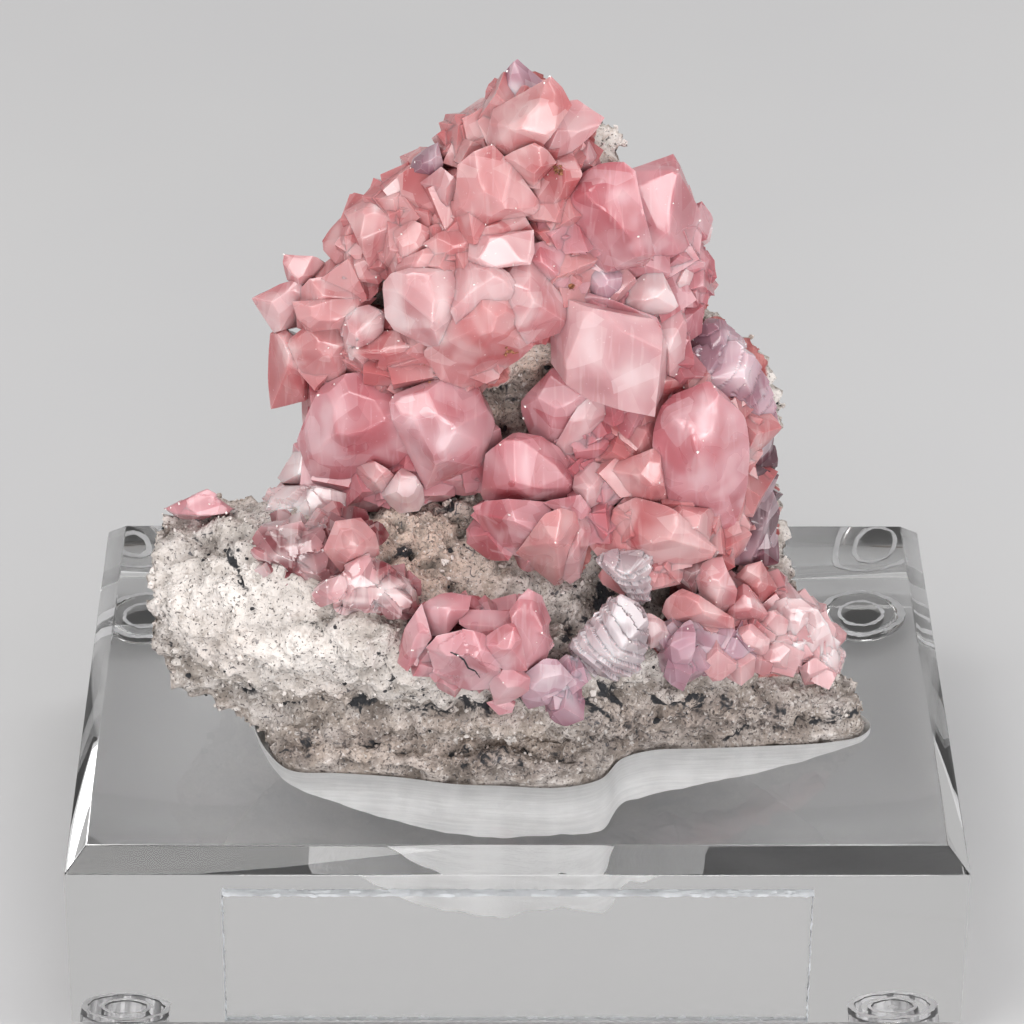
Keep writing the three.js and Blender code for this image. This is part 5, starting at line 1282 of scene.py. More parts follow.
def facet(bm, rng, count, depth):
    """Cuts small facets off a convex solid, on the side that faces the eye."""
    for _ in range(count):
        way = (-SIGHT + Vector(rng.normal(size=3)) * FACET_TILT).normalized()
        reach = [vert.co.dot(way) for vert in bm.verts]
        cut = max(reach) - (max(reach) - min(reach)) * depth * rng.uniform(0.3, 1)
        made = bmesh.ops.bisect_plane(bm, geom=bm.verts[:] + bm.edges[:] + bm.faces[:],
                                      plane_co=way * cut, plane_no=way, clear_outer=True)
        loop = [g for g in made["geom_cut"] if isinstance(g, bmesh.types.BMEdge)]
        if loop:
            bmesh.ops.edgeloop_fill(bm, edges=loop)


def convex_hull(bm, verts):
    """Spans the convex solid between points, and drops the points inside it."""
    hull = bmesh.ops.convex_hull(bm, input=verts)
    inner = [g for g in hull["geom_interior"] if isinstance(g, bmesh.types.BMVert)]
    bmesh.ops.delete(bm, geom=inner, context="VERTS")


def crease_edges(bm, creased):
    """Marks the edges and the outline's corners that stay sharp when the faces are curved."""
    crease = bm.edges.layers.float.new("crease_edge")
    point_crease = bm.verts.layers.float.new("crease_vert")
    for edge in bm.edges:
        if len(edge.link_faces) < 2:
            continue
        fronts = [face.normal.dot(-SIGHT) > FRONT for face in edge.link_faces]
        if fronts[0] != fronts[1]:
            edge[crease] = OUTLINE_CREASE
        elif edge.calc_face_angle(0) > creased:
            edge[crease] = RIDGE_CREASE
    for vert in bm.verts:
        outline = [e for e in vert.link_edges if e[crease] == OUTLINE_CREASE]
        if len(outline) == 2:
            ways = [(e.other_vert(vert).co - vert.co).normalized() for e in outline]
            if ways[0].dot(ways[1]) > BENT:
                vert[point_crease] = 1.0


def crystal_hull(name, points):
    """The solid between the points, with a crease on each edge that stays sharp."""
    rng = np.random.default_rng(sum(map(ord, name)))
    bm = bmesh.new()
    convex_hull(bm, [bm.verts.new(p / MM) for p in points])
    facet(bm, rng, *CHIPPED.get(name, (FACETS, FACET_DEPTH)))
    bmesh.ops.recalc_face_normals(bm, faces=bm.faces)
    bmesh.ops.dissolve_limit(bm, angle_limit=math.radians(FLAT), verts=bm.verts, edges=bm.edges)
    bm.normal_update()
    crease_edges(bm, math.radians(SOFT_CREASED if name in SOFT else CREASED))
    for vert in bm.verts:
        vert.co *= MM
    mesh = bpy.data.meshes.new(name)
    bm.to_mesh(mesh)
    bm.free()
    return mesh


def plated(place, thick, step, way):
    """Thin cleavage plates that lie over each other like slates: their relief, and their cracks."""
    along = place @ np.array(way) / thick + noise_at(place, 5, 2) * 0.5
    part = along - np.floor(along)
    return part * step, np.clip(1 - part * 6, 0, 1)


def shards(place, rng, count, relief):
    """The tilted faces of a splintery break, each flat and a little out of line with the next."""
    seeds = rng.uniform(place.min(axis=0), place.max(axis=0), (count, 3))
    nearest = np.linalg.norm(place[:, None] - seeds[None], axis=2).argmin(axis=1)
    tilt = rng.normal(size=(count, 3))
    rise = ((place - seeds[nearest]) * tilt[nearest]).sum(axis=1) * 0.35
    return np.clip(rise, -1, 1) * relief


def roughen(mesh, name, rng):
    """Makes grown faces slightly uneven and cleaved ones plated; gives the plates' cracks back."""
    points = vertex_array(mesh)
    normals = normal_array(mesh)
    place = points / MM
    out = UNEVEN * noise_at(place, UNEVEN_LUMP, 3, (rng.random() * 9, 0, 0))
    cracks = np.zeros(len(points))
    if name in PLATED:
        relief, cracks = plated(place, *PLATED[name])
        out += relief
    if name in SHATTERED:
        out += shards(place, rng, *SHATTERED[name])
    set_vertices(mesh, points + normals * (out * MM)[:, None])
    return cracks


# Pale clouds inside crystals, and painted highlights and glints on their faces: (across, down, wide, high,
# strength).
GLOWS_AND_HIGHLIGHTS = [
    (516, 88, 7, 8, 0.9), (513, 121, 16, 20, 0.35), (527, 110, 12, 8, 0.6), (503, 137, 9, 10, 0.55),
    (527, 150, 12, 6, 0.5), (575, 125, 14, 10, 0.25), (478, 136, 14, 10, 0.35), (452, 158, 10, 6, 0.4),
    (451, 190, 10, 18, 0.6), (390, 197, 8, 11, 1.0), (376, 206, 7, 6, 0.9), (498, 196, 30, 16, 0.1),
    (440, 160, 8, 10, 0.3), (415, 205, 12, 16, 0.3), (500, 239, 30, 8, 0.45), (478, 252, 18, 10, 0.4),
    (395, 305, 9, 22, 0.6), (442, 300, 10, 34, 0.75), (415, 325, 22, 10, 0.55), (440, 338, 10, 9, 0.9),
    (358, 314, 14, 9, 1.0), (370, 326, 10, 14, 0.75), (352, 345, 8, 14, 0.6), (293, 350, 9, 8, 0.5),
    (300, 363, 9, 3, 0.6), (470, 285, 16, 14, 0.4), (520, 272, 26, 10, 0.35), (300, 272, 10, 10, 0.3),
    (270, 300, 12, 12, 0.2), (552, 272, 10, 18, 0.5), (618, 195, 16, 9, 0.45), (600, 235, 20, 8, 0.3),
    (622, 262, 18, 7, 0.35), (655, 205, 14, 28, 0.05), (605, 250, 16, 6, 0.3), (600, 275, 10, 12, 0.35),
    (628, 302, 5, 5, 1.0), (652, 292, 9, 6, 0.75), (690, 290, 10, 16, 0.35), (642, 318, 30, 5, 0.3),
    (588, 350, 16, 34, 0.35), (636, 372, 16, 18, 0.5), (641, 390, 10, 10, 0.6), (672, 345, 9, 26, 0.3),
    (668, 380, 10, 4, 0.8), (420, 420, 24, 14, 0.75), (442, 436, 28, 20, 0.95), (345, 412, 16, 24, 0.4),
    (330, 450, 14, 18, 0.3), (376, 480, 10, 14, 0.4), (400, 490, 12, 9, 0.6), (300, 470, 14, 7, 0.6),
    (515, 462, 26, 16, 0.2), (548, 455, 14, 12, 0.35), (592, 478, 10, 14, 0.35), (566, 520, 8, 14, 0.4),
    (551, 560, 8, 14, 0.3), (702, 425, 14, 22, 0.7), (700, 470, 12, 20, 0.45), (728, 450, 8, 24, 0.3),
    (640, 472, 18, 10, 0.25), (690, 545, 24, 8, 0.35), (738, 362, 16, 20, 0.85), (722, 335, 12, 8, 0.5),
    (716, 590, 10, 14, 0.65), (752, 575, 8, 8, 0.5), (712, 610, 10, 6, 0.5), (790, 600, 16, 10, 0.4),
    (780, 640, 30, 16, 0.35), (825, 655, 14, 10, 0.45), (755, 605, 9, 8, 0.5), (376, 590, 26, 10, 0.8),
    (350, 585, 12, 9, 0.6), (360, 600, 22, 5, 0.7), (290, 508, 26, 12, 0.85), (325, 493, 16, 6, 0.7),
    (262, 520, 10, 10, 0.5), (300, 546, 16, 6, 0.1), (278, 556, 10, 5, 0.4), (352, 540, 10, 10, 0.3),
    (505, 652, 7, 16, 0.55), (440, 604, 16, 5, 0.55), (486, 618, 18, 6, 0.3), (535, 640, 6, 20, 0.3),
    (458, 655, 12, 12, 0.25), (510, 692, 10, 6, 0.4), (622, 574, 14, 14, 0.4), (612, 650, 20, 14, 0.4),
    (620, 620, 14, 8, 0.3), (655, 628, 7, 8, 0.6), (700, 655, 16, 8, 0.35), (545, 680, 10, 8, 0.35),
    (755, 515, 8, 12, 0.05), (760, 445, 8, 10, 0.4), (700, 226, 7, 6, 0.5),
]
# Painted shade at the crystals' shadowed bases, and the deeper colour of their thick middles: (across,
# down, wide, high, strength).
DEEPS_AND_SHADE = [
    (470, 168, 8, 6, 0.5), (606, 268, 30, 8, 0.7), (655, 262, 26, 8, 0.8), (570, 245, 14, 12, 0.4),
    (688, 210, 8, 26, 0.5), (552, 200, 12, 20, 0.55), (540, 170, 8, 8, 0.4), (470, 355, 40, 14, 0.4),
    (520, 320, 16, 20, 0.35), (340, 355, 8, 18, 0.4), (390, 345, 24, 8, 0.5), (280, 380, 14, 24, 0.35),
    (330, 220, 20, 20, 0.35), (366, 246, 18, 20, 0.9), (300, 540, 18, 10, 0.7), (755, 520, 16, 30, 0.8),
    (560, 385, 14, 20, 0.3), (700, 505, 22, 8, 0.6),
    (735, 505, 8, 16, 0.5), (670, 470, 8, 30, 0.35), (635, 440, 20, 14, 0.45), (300, 560, 26, 16, 0.6),
    (285, 535, 24, 7, 0.6), (320, 575, 16, 14, 0.5), (420, 650, 10, 18, 0.5), (475, 670, 22, 10, 0.5),
    (540, 615, 8, 22, 0.35), (640, 550, 24, 10, 0.35), (690, 578, 16, 12, 0.8), (560, 430, 14, 12, 0.3),
    (610, 345, 18, 20, 0.22), (750, 395, 16, 14, 0.5), (715, 350, 10, 8, 0.4), (750, 470, 14, 8, 0.5),
    (745, 540, 14, 16, 0.4), (500, 630, 16, 5, 0.3), (520, 700, 10, 5, 0.4), (200, 503, 24, 6, 0.3),
    (445, 235, 30, 6, 0.3), (395, 375, 30, 6, 0.4), (348, 470, 10, 14, 0.3), (530, 545, 10, 14, 0.35),
]


def is_broken(name):
    return name in PLATED or name in SHATTERED


def curve_faces(crystal, name, spread):
    """Bows a crystal's faces between its creases, and bevels a narrow strip along its edges that the
    material paints with a highlight.
    """
    detail = 2 if spread < MIDDLING else (3 if spread < LARGE else 4)
    if is_broken(name):
        detail = 4
    curve = crystal.modifiers.new("curve", "SUBSURF")
    curve.levels = curve.render_levels = max(2, detail - (0))
    curve.boundary_smooth = "ALL"
    edge_strip = crystal.modifiers.new("edge_strip", "BEVEL")
    edge_strip.width = EDGE_WIDTH * MM
    edge_strip.segments = 2
    edge_strip.limit_method = "ANGLE"
    edge_strip.angle_limit = math.radians(CREASED)
    edge_strip.material = 1
    return bake_modifiers(crystal)


def mark_edge_highlights(mesh):
    """Turns the edge strips' second material into a number that the one material reads, to paint a
    highlight along the edges.
    """
    edge = mesh.attributes.new("edge", "FLOAT", "FACE")
    strips = np.empty(len(mesh.polygons), np.int32)
    mesh.polygons.foreach_get("material_index", strips)
    edge.data.foreach_set("value", strips.astype(np.float32))
    mesh.polygons.foreach_set("material_index", np.zeros(len(strips), np.int32))
    mesh.materials.pop(index=1)


def build_crystal(group, name, corners, tree, materials):
    points = crystal_points(name, corners, tree)
    crystal = new_object(f"{group}.{name}", crystal_hull(name, points))
    spread = np.ptp(np.array([c[:2] for c in corners], float), axis=0).max()
    look = STYLES.get(name, STYLES[group])
    crystal.data.materials.append(materials["small_" + look if spread < SMALL else look])
    crystal.data.materials.append(None)
    mesh = curve_faces(crystal, name, spread)
    rng = np.random.default_rng(sum(map(ord, name)))
    cracks = roughen(mesh, name, rng)
    mark_edge_highlights(mesh)
    spots = on_sheet(vertex_array(mesh))
    # Pale clouds with painted highlights, and deep colour with painted shade at the bases, plus the
    # plates' cracks.
    set_value(mesh, "milk_and_highlight", patch_sum(spots, GLOWS_AND_HIGHLIGHTS))
    set_value(mesh, "deep", np.maximum(patch_sum(spots, DEEPS_AND_SHADE), cracks))
    smooth_by_angle(mesh, BROKEN_SMOOTH if is_broken(name) else SMOOTH)
    return finish_piece(crystal, SLOTS.get(group, "pink_smithsonite"), group)


# ---------------------------------------------------------------- crystal materials

SLOTS = {
    "edge_crystals_upper": "mauve_smithsonite",
    "edge_crystals_lower": "mauve_smithsonite",
    "lilac_crystals": "mauve_smithsonite",
    "mauve_crystal": "mauve_smithsonite",
    "flaky_crystals": "pearly_smithsonite",
    "cleaved_crystal": "pearly_smithsonite",
}
# Which look each group has, and the crystals that differ from their group.
STYLES = {
    "crown_crystals": "salmon", "keystone_crystals": "salmon", "left_crystals": "salmon",
    "twin_crystals": "rose", "pendant_crystals": "pale", "square_crystals": "rose",
    "pair_crystals": "rose", "fan_crystals": "rose", "egg_crystals": "salmon",
    "edge_crystals_upper": "mauve", "edge_crystals_lower": "mauve", "corner_crystals": "pale",
    "lilac_crystals": "lilac", "small_crystal": "clear", "flaky_crystals": "pearl",
    "cleaved_crystal": "pearl", "mauve_crystal": "lilac", "rose_crystals": "rose",
    "shelf_crystals": "glassy", "shelf_druse": "clear", "salmon_crystal": "salmon",
    "broken_crystals": "glassy", "lobe_crystal": "rose",
    "apex": "lilac", "crown_rhomb": "pale", "left_flank": "clear", "flank_clear": "clear",
    "saddle": "dusty", "flank_lilac": "lilac", "mauve_top": "lilac", "mauve_middle": "lilac",
    "pale_column": "pale", "bright_edge": "pearl",
    "blade_high": "pale", "blade_left": "pale", "broken_white": "pale", "bright_front": "pale",
    "flat_plate": "pale", "right_fan": "pale", "upper_right": "pale", "round_right": "rose",
    "right_knob": "clear", "lilac_middle": "lilac", "deep_hollow": "lilac", "grey_clear": "clear",
    "square": "dusty", "grey_blade": "dusty", "beside": "salmon", "pair_side": "pale",
    "back_strip": "pale", "hanging": "pale", "clear_small": "clear", "left_low": "clear",
    "behind_small": "clear", "fan_point": "salmon", "fan_lilac": "dusty", "fan_low": "pale",
    "egg": "rose", "round_pink": "salmon", "left_pink": "salmon", "deep_pink": "glassy",
    "druse_base": "clear", "bottom_red": "rose", "under_middle": "dusty",
}
# Each look: colours (base, light, deep, milky), then transmission, roughness and scatter distance.
# The deep colour also paints shade at the crystals' bases, and the milky_and_highlight colour paints
# highlights on the faces and along the edges.
LOOKS = {
    "salmon": ((184, 108, 110), (198, 143, 145), (152, 66, 70), (218, 191, 191), 0.0, 0.28, 1.6),
    "rose": ((183, 108, 116), (198, 145, 152), (148, 63, 73), (219, 190, 195), 0.0, 0.30, 1.6),
    "pale": ((192, 130, 134), (205, 163, 166), (163, 88, 93), (222, 200, 201), 0.04, 0.25, 1.8),
    "lilac": ((163, 115, 130), (190, 155, 167), (114, 72, 88), (217, 203, 208), 0.06, 0.20, 1.5),
    "mauve": ((101, 55, 68), (154, 108, 121), (52, 22, 33), (217, 199, 206), 0.06, 0.18, 1.1),
    "pearl": ((174, 155, 161), (196, 184, 188), (101, 79, 86), (218, 214, 216), 0.03, 0.24, 0.8),
    "clear": ((206, 162, 165), (224, 197, 199), (160, 108, 112), (238, 228, 229), 0.10, 0.13, 1.4),
    "dusty": ((186, 135, 140), (201, 163, 166), (165, 106, 111), (216, 194, 196), 0.0, 0.50, 1.6),
    "glassy": ((135, 64, 70), (201, 150, 154), (86, 28, 37), (230, 217, 217), 0.08, 0.11, 1.0),
}
SMALL_SCATTER = 0.35           # light wanders this much less far in a small crystal
CRYSTAL_DENSITY = 160          # how much a see-through one absorbs


def crystal_material(name, base, light, deep, milky_and_highlight, through, rough, scatter):
    """Cloudy crystal: light scatters in it, and cleavage zones and pale veils show from inside."""
    s = Shader("smithsonite_" + name)
    where = s.place()
    cloud = s.noise(where, 6.0, 1, 0.5, 0.6)
    veil = s.noise(s.place(scale=(1.0, 0.8, 0.6), turn=(0.4, 0.5, 0.3)), 3.6, 1, 0.5, 0.5)
    streak = s.noise(s.place(scale=(2.6, 0.4, 0.3), turn=(0.9, 0.6, 1.0)), 1.4, 1, 0.6)
    zone = s.cells(s.place(scale=(1.0, 0.8, 0.6), turn=(0.5, 0.3, 0.8)), 4.6, "Color")
    chip = s.cells(s.place(scale=(0.5, 1.0, 0.8), turn=(0.2, 0.7, 0.1)), 1.9, "Color")
    grain = s.noise(where, 0.35, 1, 0.7)
    milk_and_highlight = s.value("milk_and_highlight")
    # Painted light and shade: the deep attribute lays painted shade at the bases, milk_and_highlight
    # paints highlights and glints as well as pale clouds, and edge a painted highlight along the bevelled
    # edges.
    tone = s.tint(
        srgb(*base),
        (s.ramp(cloud, 0.40, 0.62), light),
        (s.ramp(zone, 0.5, 0.8, 0, 0.6), light),
        (s.ramp(zone, 0.46, 0.22, 0, 0.4), deep),
        (s.ramp(veil, 0.48, 0.28, 0, 0.3), deep),
        (s.times(s.value("deep"), s.ramp(veil, 0.3, 0.6, 0.6, 1)), deep),
        (s.times(milk_and_highlight, s.ramp(veil, 0.36, 0.56, 0.4, 1.3)), milky_and_highlight),
        (s.ramp(veil, 0.54, 0.74, 0, 0.4), milky_and_highlight),
        (s.ramp(chip, 0.6, 0.85, 0, 0.35), milky_and_highlight),
        (s.ramp(streak, 0.58, 0.70, 0, 0.2), milky_and_highlight),
        (s.times(s.value("edge"), 0.24), milky_and_highlight),
        (s.ramp(grain, 0.70, 0.80, 0, 0.4), milky_and_highlight),
    )
    opening = 0
    if through > 0:
        opening = s.times(s.ramp(cloud, 0.35, 0.62, through * 1.5, through * 0.6),
                          s.ramp(milk_and_highlight, 0.1, 0.8, 1, 0.35))
        s.absorb(srgb(*light), CRYSTAL_DENSITY)
    height = s.plus(s.times(grain, 0.12), s.noise(where, 3.2, 0))
    s.surface(Base_Color=tone, Roughness=s.ramp(veil, 0.3, 0.65, rough * 0.72, rough * 1.25),
              IOR=1.62, Specular_IOR_Level=0.5, Coat_Weight=0.3, Coat_Roughness=0.04,
              Subsurface_Weight=0.65, Subsurface_Radius=(1.0, 0.6, 0.56), Subsurface_Scale=scatter * MM,
              Transmission_Weight=opening, Normal=s.bump(height, 0.3, 0.12))
    return s.material


def rock_tree():
    """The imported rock's surface, to drop points on along the sight line."""
    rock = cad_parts["matrix_rock"].data
    return BVHTree.FromPolygons([v.co for v in rock.vertices], [f.vertices for f in rock.polygons])


def build_crystals():
    tree = rock_tree()
    materials = {name: crystal_material(name, *look) for name, look in LOOKS.items()}
    for name, look in LOOKS.items():
        materials["small_" + name] = crystal_material("small_" + name, *look[:6], look[6] * SMALL_SCATTER)
    made = [build_crystal(group, name, corners, tree, materials)
            for group, crystals in CRYSTALS.items() for name, corners in crystals.items()]
    return made, materials


# ---------------------------------------------------------------- small crystals between the large

# (piece, its group, look, count, smallest and largest size in mm, ovals on the sheet).
FILLS = [
    ("fill_crown", "crown_crystals", "salmon", 70, 1.4, 3.2,
     [(505, 130, 50, 45), (572, 165, 24, 20), (555, 205, 24, 20)]),
    ("fill_keystone", "keystone_crystals", "salmon", 50, 1.4, 3.2,
     [(455, 185, 60, 45), (400, 215, 24, 30)]),
    ("fill_left", "left_crystals", "salmon", 190, 1.5, 3.6,
     [(400, 290, 100, 90), (500, 280, 70, 70), (320, 360, 34, 60), (420, 365, 70, 22)]),
    ("fill_twin", "twin_crystals", "rose", 80, 1.4, 3.2, [(635, 225, 66, 62), (565, 240, 24, 36)]),
    ("fill_pendant", "pendant_crystals", "pale", 26, 1.2, 2.6, [(670, 290, 44, 30), (606, 285, 34, 22)]),
    ("fill_square", "square_crystals", "rose", 90, 1.4, 3.0,
     [(610, 350, 60, 66), (575, 410, 50, 34), (668, 350, 26, 50)]),
    ("fill_pair", "pair_crystals", "rose", 90, 1.4, 3.2, [(395, 425, 92, 52), (318, 430, 20, 60)]),
    ("fill_fan", "fan_crystals", "rose", 60, 1.3, 2.8, [(535, 495, 52, 60), (590, 500, 22, 36)]),
    ("fill_egg", "egg_crystals", "salmon", 120, 1.4, 3.2, [(680, 470, 66, 84), (650, 540, 50, 36)]),
    ("fill_edge_upper", "edge_crystals_upper", "mauve", 14, 1.2, 2.6, [(738, 390, 36, 70)]),
    ("fill_edge_lower", "edge_crystals_lower", "mauve", 12, 1.2, 2.4, [(752, 510, 24, 50)]),
    ("fill_corner", "corner_crystals", "pale", 110, 0.9, 2.4, [(760, 620, 74, 54), (800, 655, 40, 30)]),
    ("fill_lilac", "lilac_crystals", "lilac", 34, 0.9, 2.0, [(700, 650, 46, 22), (560, 682, 26, 18)]),
    ("fill_rose", "rose_crystals", "rose", 50, 1.2, 2.8, [(478, 648, 66, 46)]),
    ("fill_shelf", "shelf_crystals", "glassy", 20, 1.1, 2.4, [(300, 545, 48, 44), (350, 555, 30, 34)]),
    ("fill_shelf_druse", "shelf_druse", "pale", 14, 1.1, 2.2, [(298, 508, 44, 24)]),
    ("fill_broken", "broken_crystals", "glassy", 12, 1.1, 2.2, [(372, 588, 44, 26)]),
]
SEED_SHAPES = 7                # different small crystals, used over and over
SHEET_PER_MM = 10
FILL_LIFT = 1.7                # how far small crystals are raised between the large, in mm
BARE_LIFT = 0.3                # and on bare rock
FILL_GROWTH = 1.3              # how much larger the raised ones are
FILL_LEAN = 0.45               # how far they lean out of square
FILL_SINK = 0.12               # how far off its place one's middle is, against its size
FILL_MARGIN = 0.75             # how far inside the outline they stay, and
FILL_REACH = 0.4               # how far from the bare places, both against their size
FILL_MILK_AND_HIGHLIGHT = 0.6
FILL_DEEP = 0.25
FILL_SMOOTH = 24
# Ovals on the sheet where the rock, or a crystal behind, shows with nothing in front.
KEPT_BARE = [(536, 366, 16, 30), (506, 394, 26, 16), (616, 146, 20, 22), (700, 346, 7, 28)]
# The stone's outline on the sheet. Small crystals stay inside it.
OUTLINE = [
    (517, 61), (500, 88), (487, 106), (465, 119), (437, 146), (412, 160), (400, 178), (378, 197),
    (347, 214), (322, 245), (330, 262), (300, 295), (302, 330), (306, 400), (303, 440), (284, 470),
    (250, 518), (240, 600), (380, 720), (600, 720), (845, 690), (842, 652), (822, 620), (800, 598),
    (768, 556), (777, 513), (764, 470), (772, 424), (765, 385), (733, 332), (700, 322), (708, 285),
    (711, 228), (698, 214), (690, 195), (672, 160), (650, 170), (628, 172), (596, 150), (601, 119),
    (577, 103), (558, 91), (541, 82),
]


def inside(spots, loop, margin):
    """Which sheet points lie inside a closed line, and further than margin from it."""
    within = np.zeros(len(spots), bool)
    for (x0, y0), (x1, y1) in zip(loop, loop[1:] + loop[:1]):
        crosses = (y0 > spots[:, 1]) != (y1 > spots[:, 1])
        edge = x0 + (spots[:, 1] - y0) * (x1 - x0) / ((y1 - y0) or TINY)
        within ^= crosses & (spots[:, 0] < edge)
    return within & (line_distance(spots, loop + loop[:1]) > margin)


def seed_shape(rng):
    """One small rhombohedron with curved faces: its points, a millimetre or so across, and its faces."""
    stretch = rng.uniform(0.8, 1.05)
    corner = np.array([(a, b, c) for a in (-1, 1) for b in (-1, 1) for c in (-1, 1)], float) * 0.5
    diagonal = np.ones(3) / math.sqrt(3)
    along = corner @ diagonal
    shape = corner + np.outer(along, diagonal) * (stretch - 1) + rng.normal(size=(8, 3)) * 0.06
    turn = Vector(diagonal).rotation_difference(Vector((0, 0, 1))).to_matrix()
    points = [turn @ Vector(p) * MM for p in shape]
    seed = new_object("seed", crystal_hull("seed", points))
    curve = seed.modifiers.new("curve", "SUBSURF")
    curve.levels = curve.render_levels = 1
    mesh = bake_modifiers(seed)
    found = (vertex_array(mesh) / MM, [tuple(face.vertices) for face in mesh.polygons])
    bpy.data.objects.remove(seed)
    return found


def random_in(ovals, rng):
    """A sheet point somewhere in one of several ovals."""
    sizes = np.array([wide * high for _, _, wide, high in ovals], float)
    across, down, wide, high = ovals[rng.choice(len(ovals), p=sizes / sizes.sum())]
    angle, reach = rng.uniform(0, 2 * math.pi), math.sqrt(rng.random())
    return across + wide * reach * math.cos(angle), down + high * reach * math.sin(angle)


def in_bare_place(place, reach):
    """Whether a small crystal here would hang over one of the places that stay bare."""
    across, down = on_sheet(np.array([place]))[0]
    return any(math.hypot((across - x) / (wide + reach), (down - y) / (high + reach)) < 1
               for x, y, wide, high in KEPT_BARE)


def scatter(piece, group, look, count, low, high, ovals, tree, shapes, materials):
    """Small crystals seated on the rock, joined in one mesh."""
    rng = np.random.default_rng(sum(map(ord, piece)))
    lift = BARE_LIFT if group in STANDING_ON_BARE_ROCK else FILL_LIFT
    points = []
    faces = []
    for _ in range(count):
        across, down = random_in(ovals, rng)
        size = rng.uniform(low, high) * (FILL_GROWTH if lift == FILL_LIFT else 1)
        spot = np.array([(across, down)])
        place, normal = seat(tree, across, down)
        if place is None or not inside(spot, OUTLINE, size * SHEET_PER_MM * FILL_MARGIN)[0]:
            continue
        if covered(spot)[0] < 1:
            continue
        shape, shape_faces = shapes[rng.integers(len(shapes))]
        lean = Vector(rng.normal(size=3)) * FILL_LEAN
        axis = (normal + lean).normalized()
        turn = Vector((0, 0, 1)).rotation_difference(axis).to_matrix()
        turn = turn @ Matrix.Rotation(rng.uniform(0, 2 * math.pi), 3, "Z")
        sink = Vector(place) + normal * (size * FILL_SINK + lift) * MM
        if in_bare_place(sink, size * SHEET_PER_MM * FILL_REACH):
            continue
        first = len(points)
        points += [sink + turn @ Vector(p) * size * MM for p in shape]
        faces += [tuple(first + i for i in face) for face in shape_faces]
    mesh = mesh_of(piece, points, faces)
    mesh.materials.append(materials["small_" + look])
    spots = on_sheet(vertex_array(mesh))
    set_value(mesh, "milk_and_highlight", patch_sum(spots, GLOWS_AND_HIGHLIGHTS) * FILL_MILK_AND_HIGHLIGHT)
    set_value(mesh, "deep", np.full(len(spots), FILL_DEEP))
    smooth_by_angle(mesh, FILL_SMOOTH)
    return finish_piece(new_object(piece, mesh), SLOTS.get(group, "pink_smithsonite"), group)


DUST_SHARE = 0.0016            # white grains for each vertex of a crystal that faces the eye
DUST_MOST = 6                  # and at most this many
DUST_LOW = 0.03                # the smallest and largest grain's half width, in mm
DUST_HIGH = 0.11
# A dark crack across the rose crystals, on the sheet.
CRACK = [(450, 652), (457, 655), (464, 660), (468, 668), (475, 671), (480, 678)]
CRACK_WIDTH = 0.2
CRACK_STEPS = 40
# Rusty spots between crystals: (across, down, reach, grains).
RUST = [(558, 170, 5, 16), (553, 237, 4, 12), (573, 285, 4, 14), (507, 350, 7, 9), (425, 372, 9, 10)]
CRACK_LIFT = 0.02              # how far its face stands out
CRACK_SUNK = 9                 # and how many times that its back is sunk
RUST_LOW = 0.12                # the smallest and largest grain's size, in mm
RUST_HIGH = 0.3
RUST_CORNERS = 8


def front_tree(pieces):
    """The joined surface of several pieces, to drop points on along the sight line."""
    points = []
    faces = []
    for piece in pieces:
        first = len(points)
        points += [vert.co.copy() for vert in piece.data.vertices]
        faces += [[first + i for i in face.vertices] for face in piece.data.polygons]
    return BVHTree.FromPolygons(points, faces)


def build_crack(crystals):
    """A thin seam of dark mineral, sunk in the crystals that it crosses."""
    tree = front_tree([c for c in crystals if c.name.startswith("rose_crystals.")])
    line = np.array(CRACK, float)
    at_share = np.linspace(0, len(line) - 1, CRACK_STEPS)
    rings = []
    for k, share in enumerate(at_share):
        across = np.interp(share, range(len(line)), line[:, 0])
        down = np.interp(share, range(len(line)), line[:, 1])
        place, normal = seat(tree, across, down)
        if place is None:
            continue
        swell = math.sin(math.pi * (k + 0.5) / CRACK_STEPS) ** 0.5
        ragged = 0.7 + 0.5 * noise.noise(Vector((k * 0.4, 0, 0)))
        side = normal.cross(SHEET_ACROSS - SHEET_UP).normalized() * CRACK_WIDTH * swell * ragged * MM
        rise = normal * CRACK_LIFT * MM
        sunk = rise * CRACK_SUNK
        rings.append([place - side + rise, place + side + rise, place + side - sunk, place - side - sunk])
    crack = new_object("rose_crystals.crack", rings_to_mesh("rose_crystals.crack", rings))
    crack.data.materials.append(
        grain_material("crack_mineral", (30, 30, 36), (52, 50, 56), 0.25, 3, 0.7, (0.6, 0.06)))
    return finish_piece(crack, "matrix_rock", "rose_crystals")


def build_rust(crystals):
    """Rusty grains in the corners between crystals, joined in one mesh."""
    tree = front_tree(crystals)
    rng = np.random.default_rng(31)
    mesh = bpy.data.meshes.new("matrix_rock.rust")
    bm = bmesh.new()
    for across, down, reach, count in RUST:
        for _ in range(count):
            place, _ = seat(tree, *(rng.normal(size=2) * reach * 0.5 + (across, down)))
            if place is None:
                continue
            size = rng.uniform(RUST_LOW, RUST_HIGH)
            shape = rng.normal(size=(RUST_CORNERS, 3)) * size * 0.6
            convex_hull(bm, [bm.verts.new(place + Vector(p) * MM) for p in shape])
    bm.to_mesh(mesh)
    bm.free()
    rust = new_object("matrix_rock.rust", mesh)
    mesh.materials.append(
        grain_material("rust_grain", (112, 70, 44), (158, 108, 74), 0.25, 3, 0.7, (0.6, 0.06)))
    return finish_piece(rust, "matrix_rock", "matrix_rock")


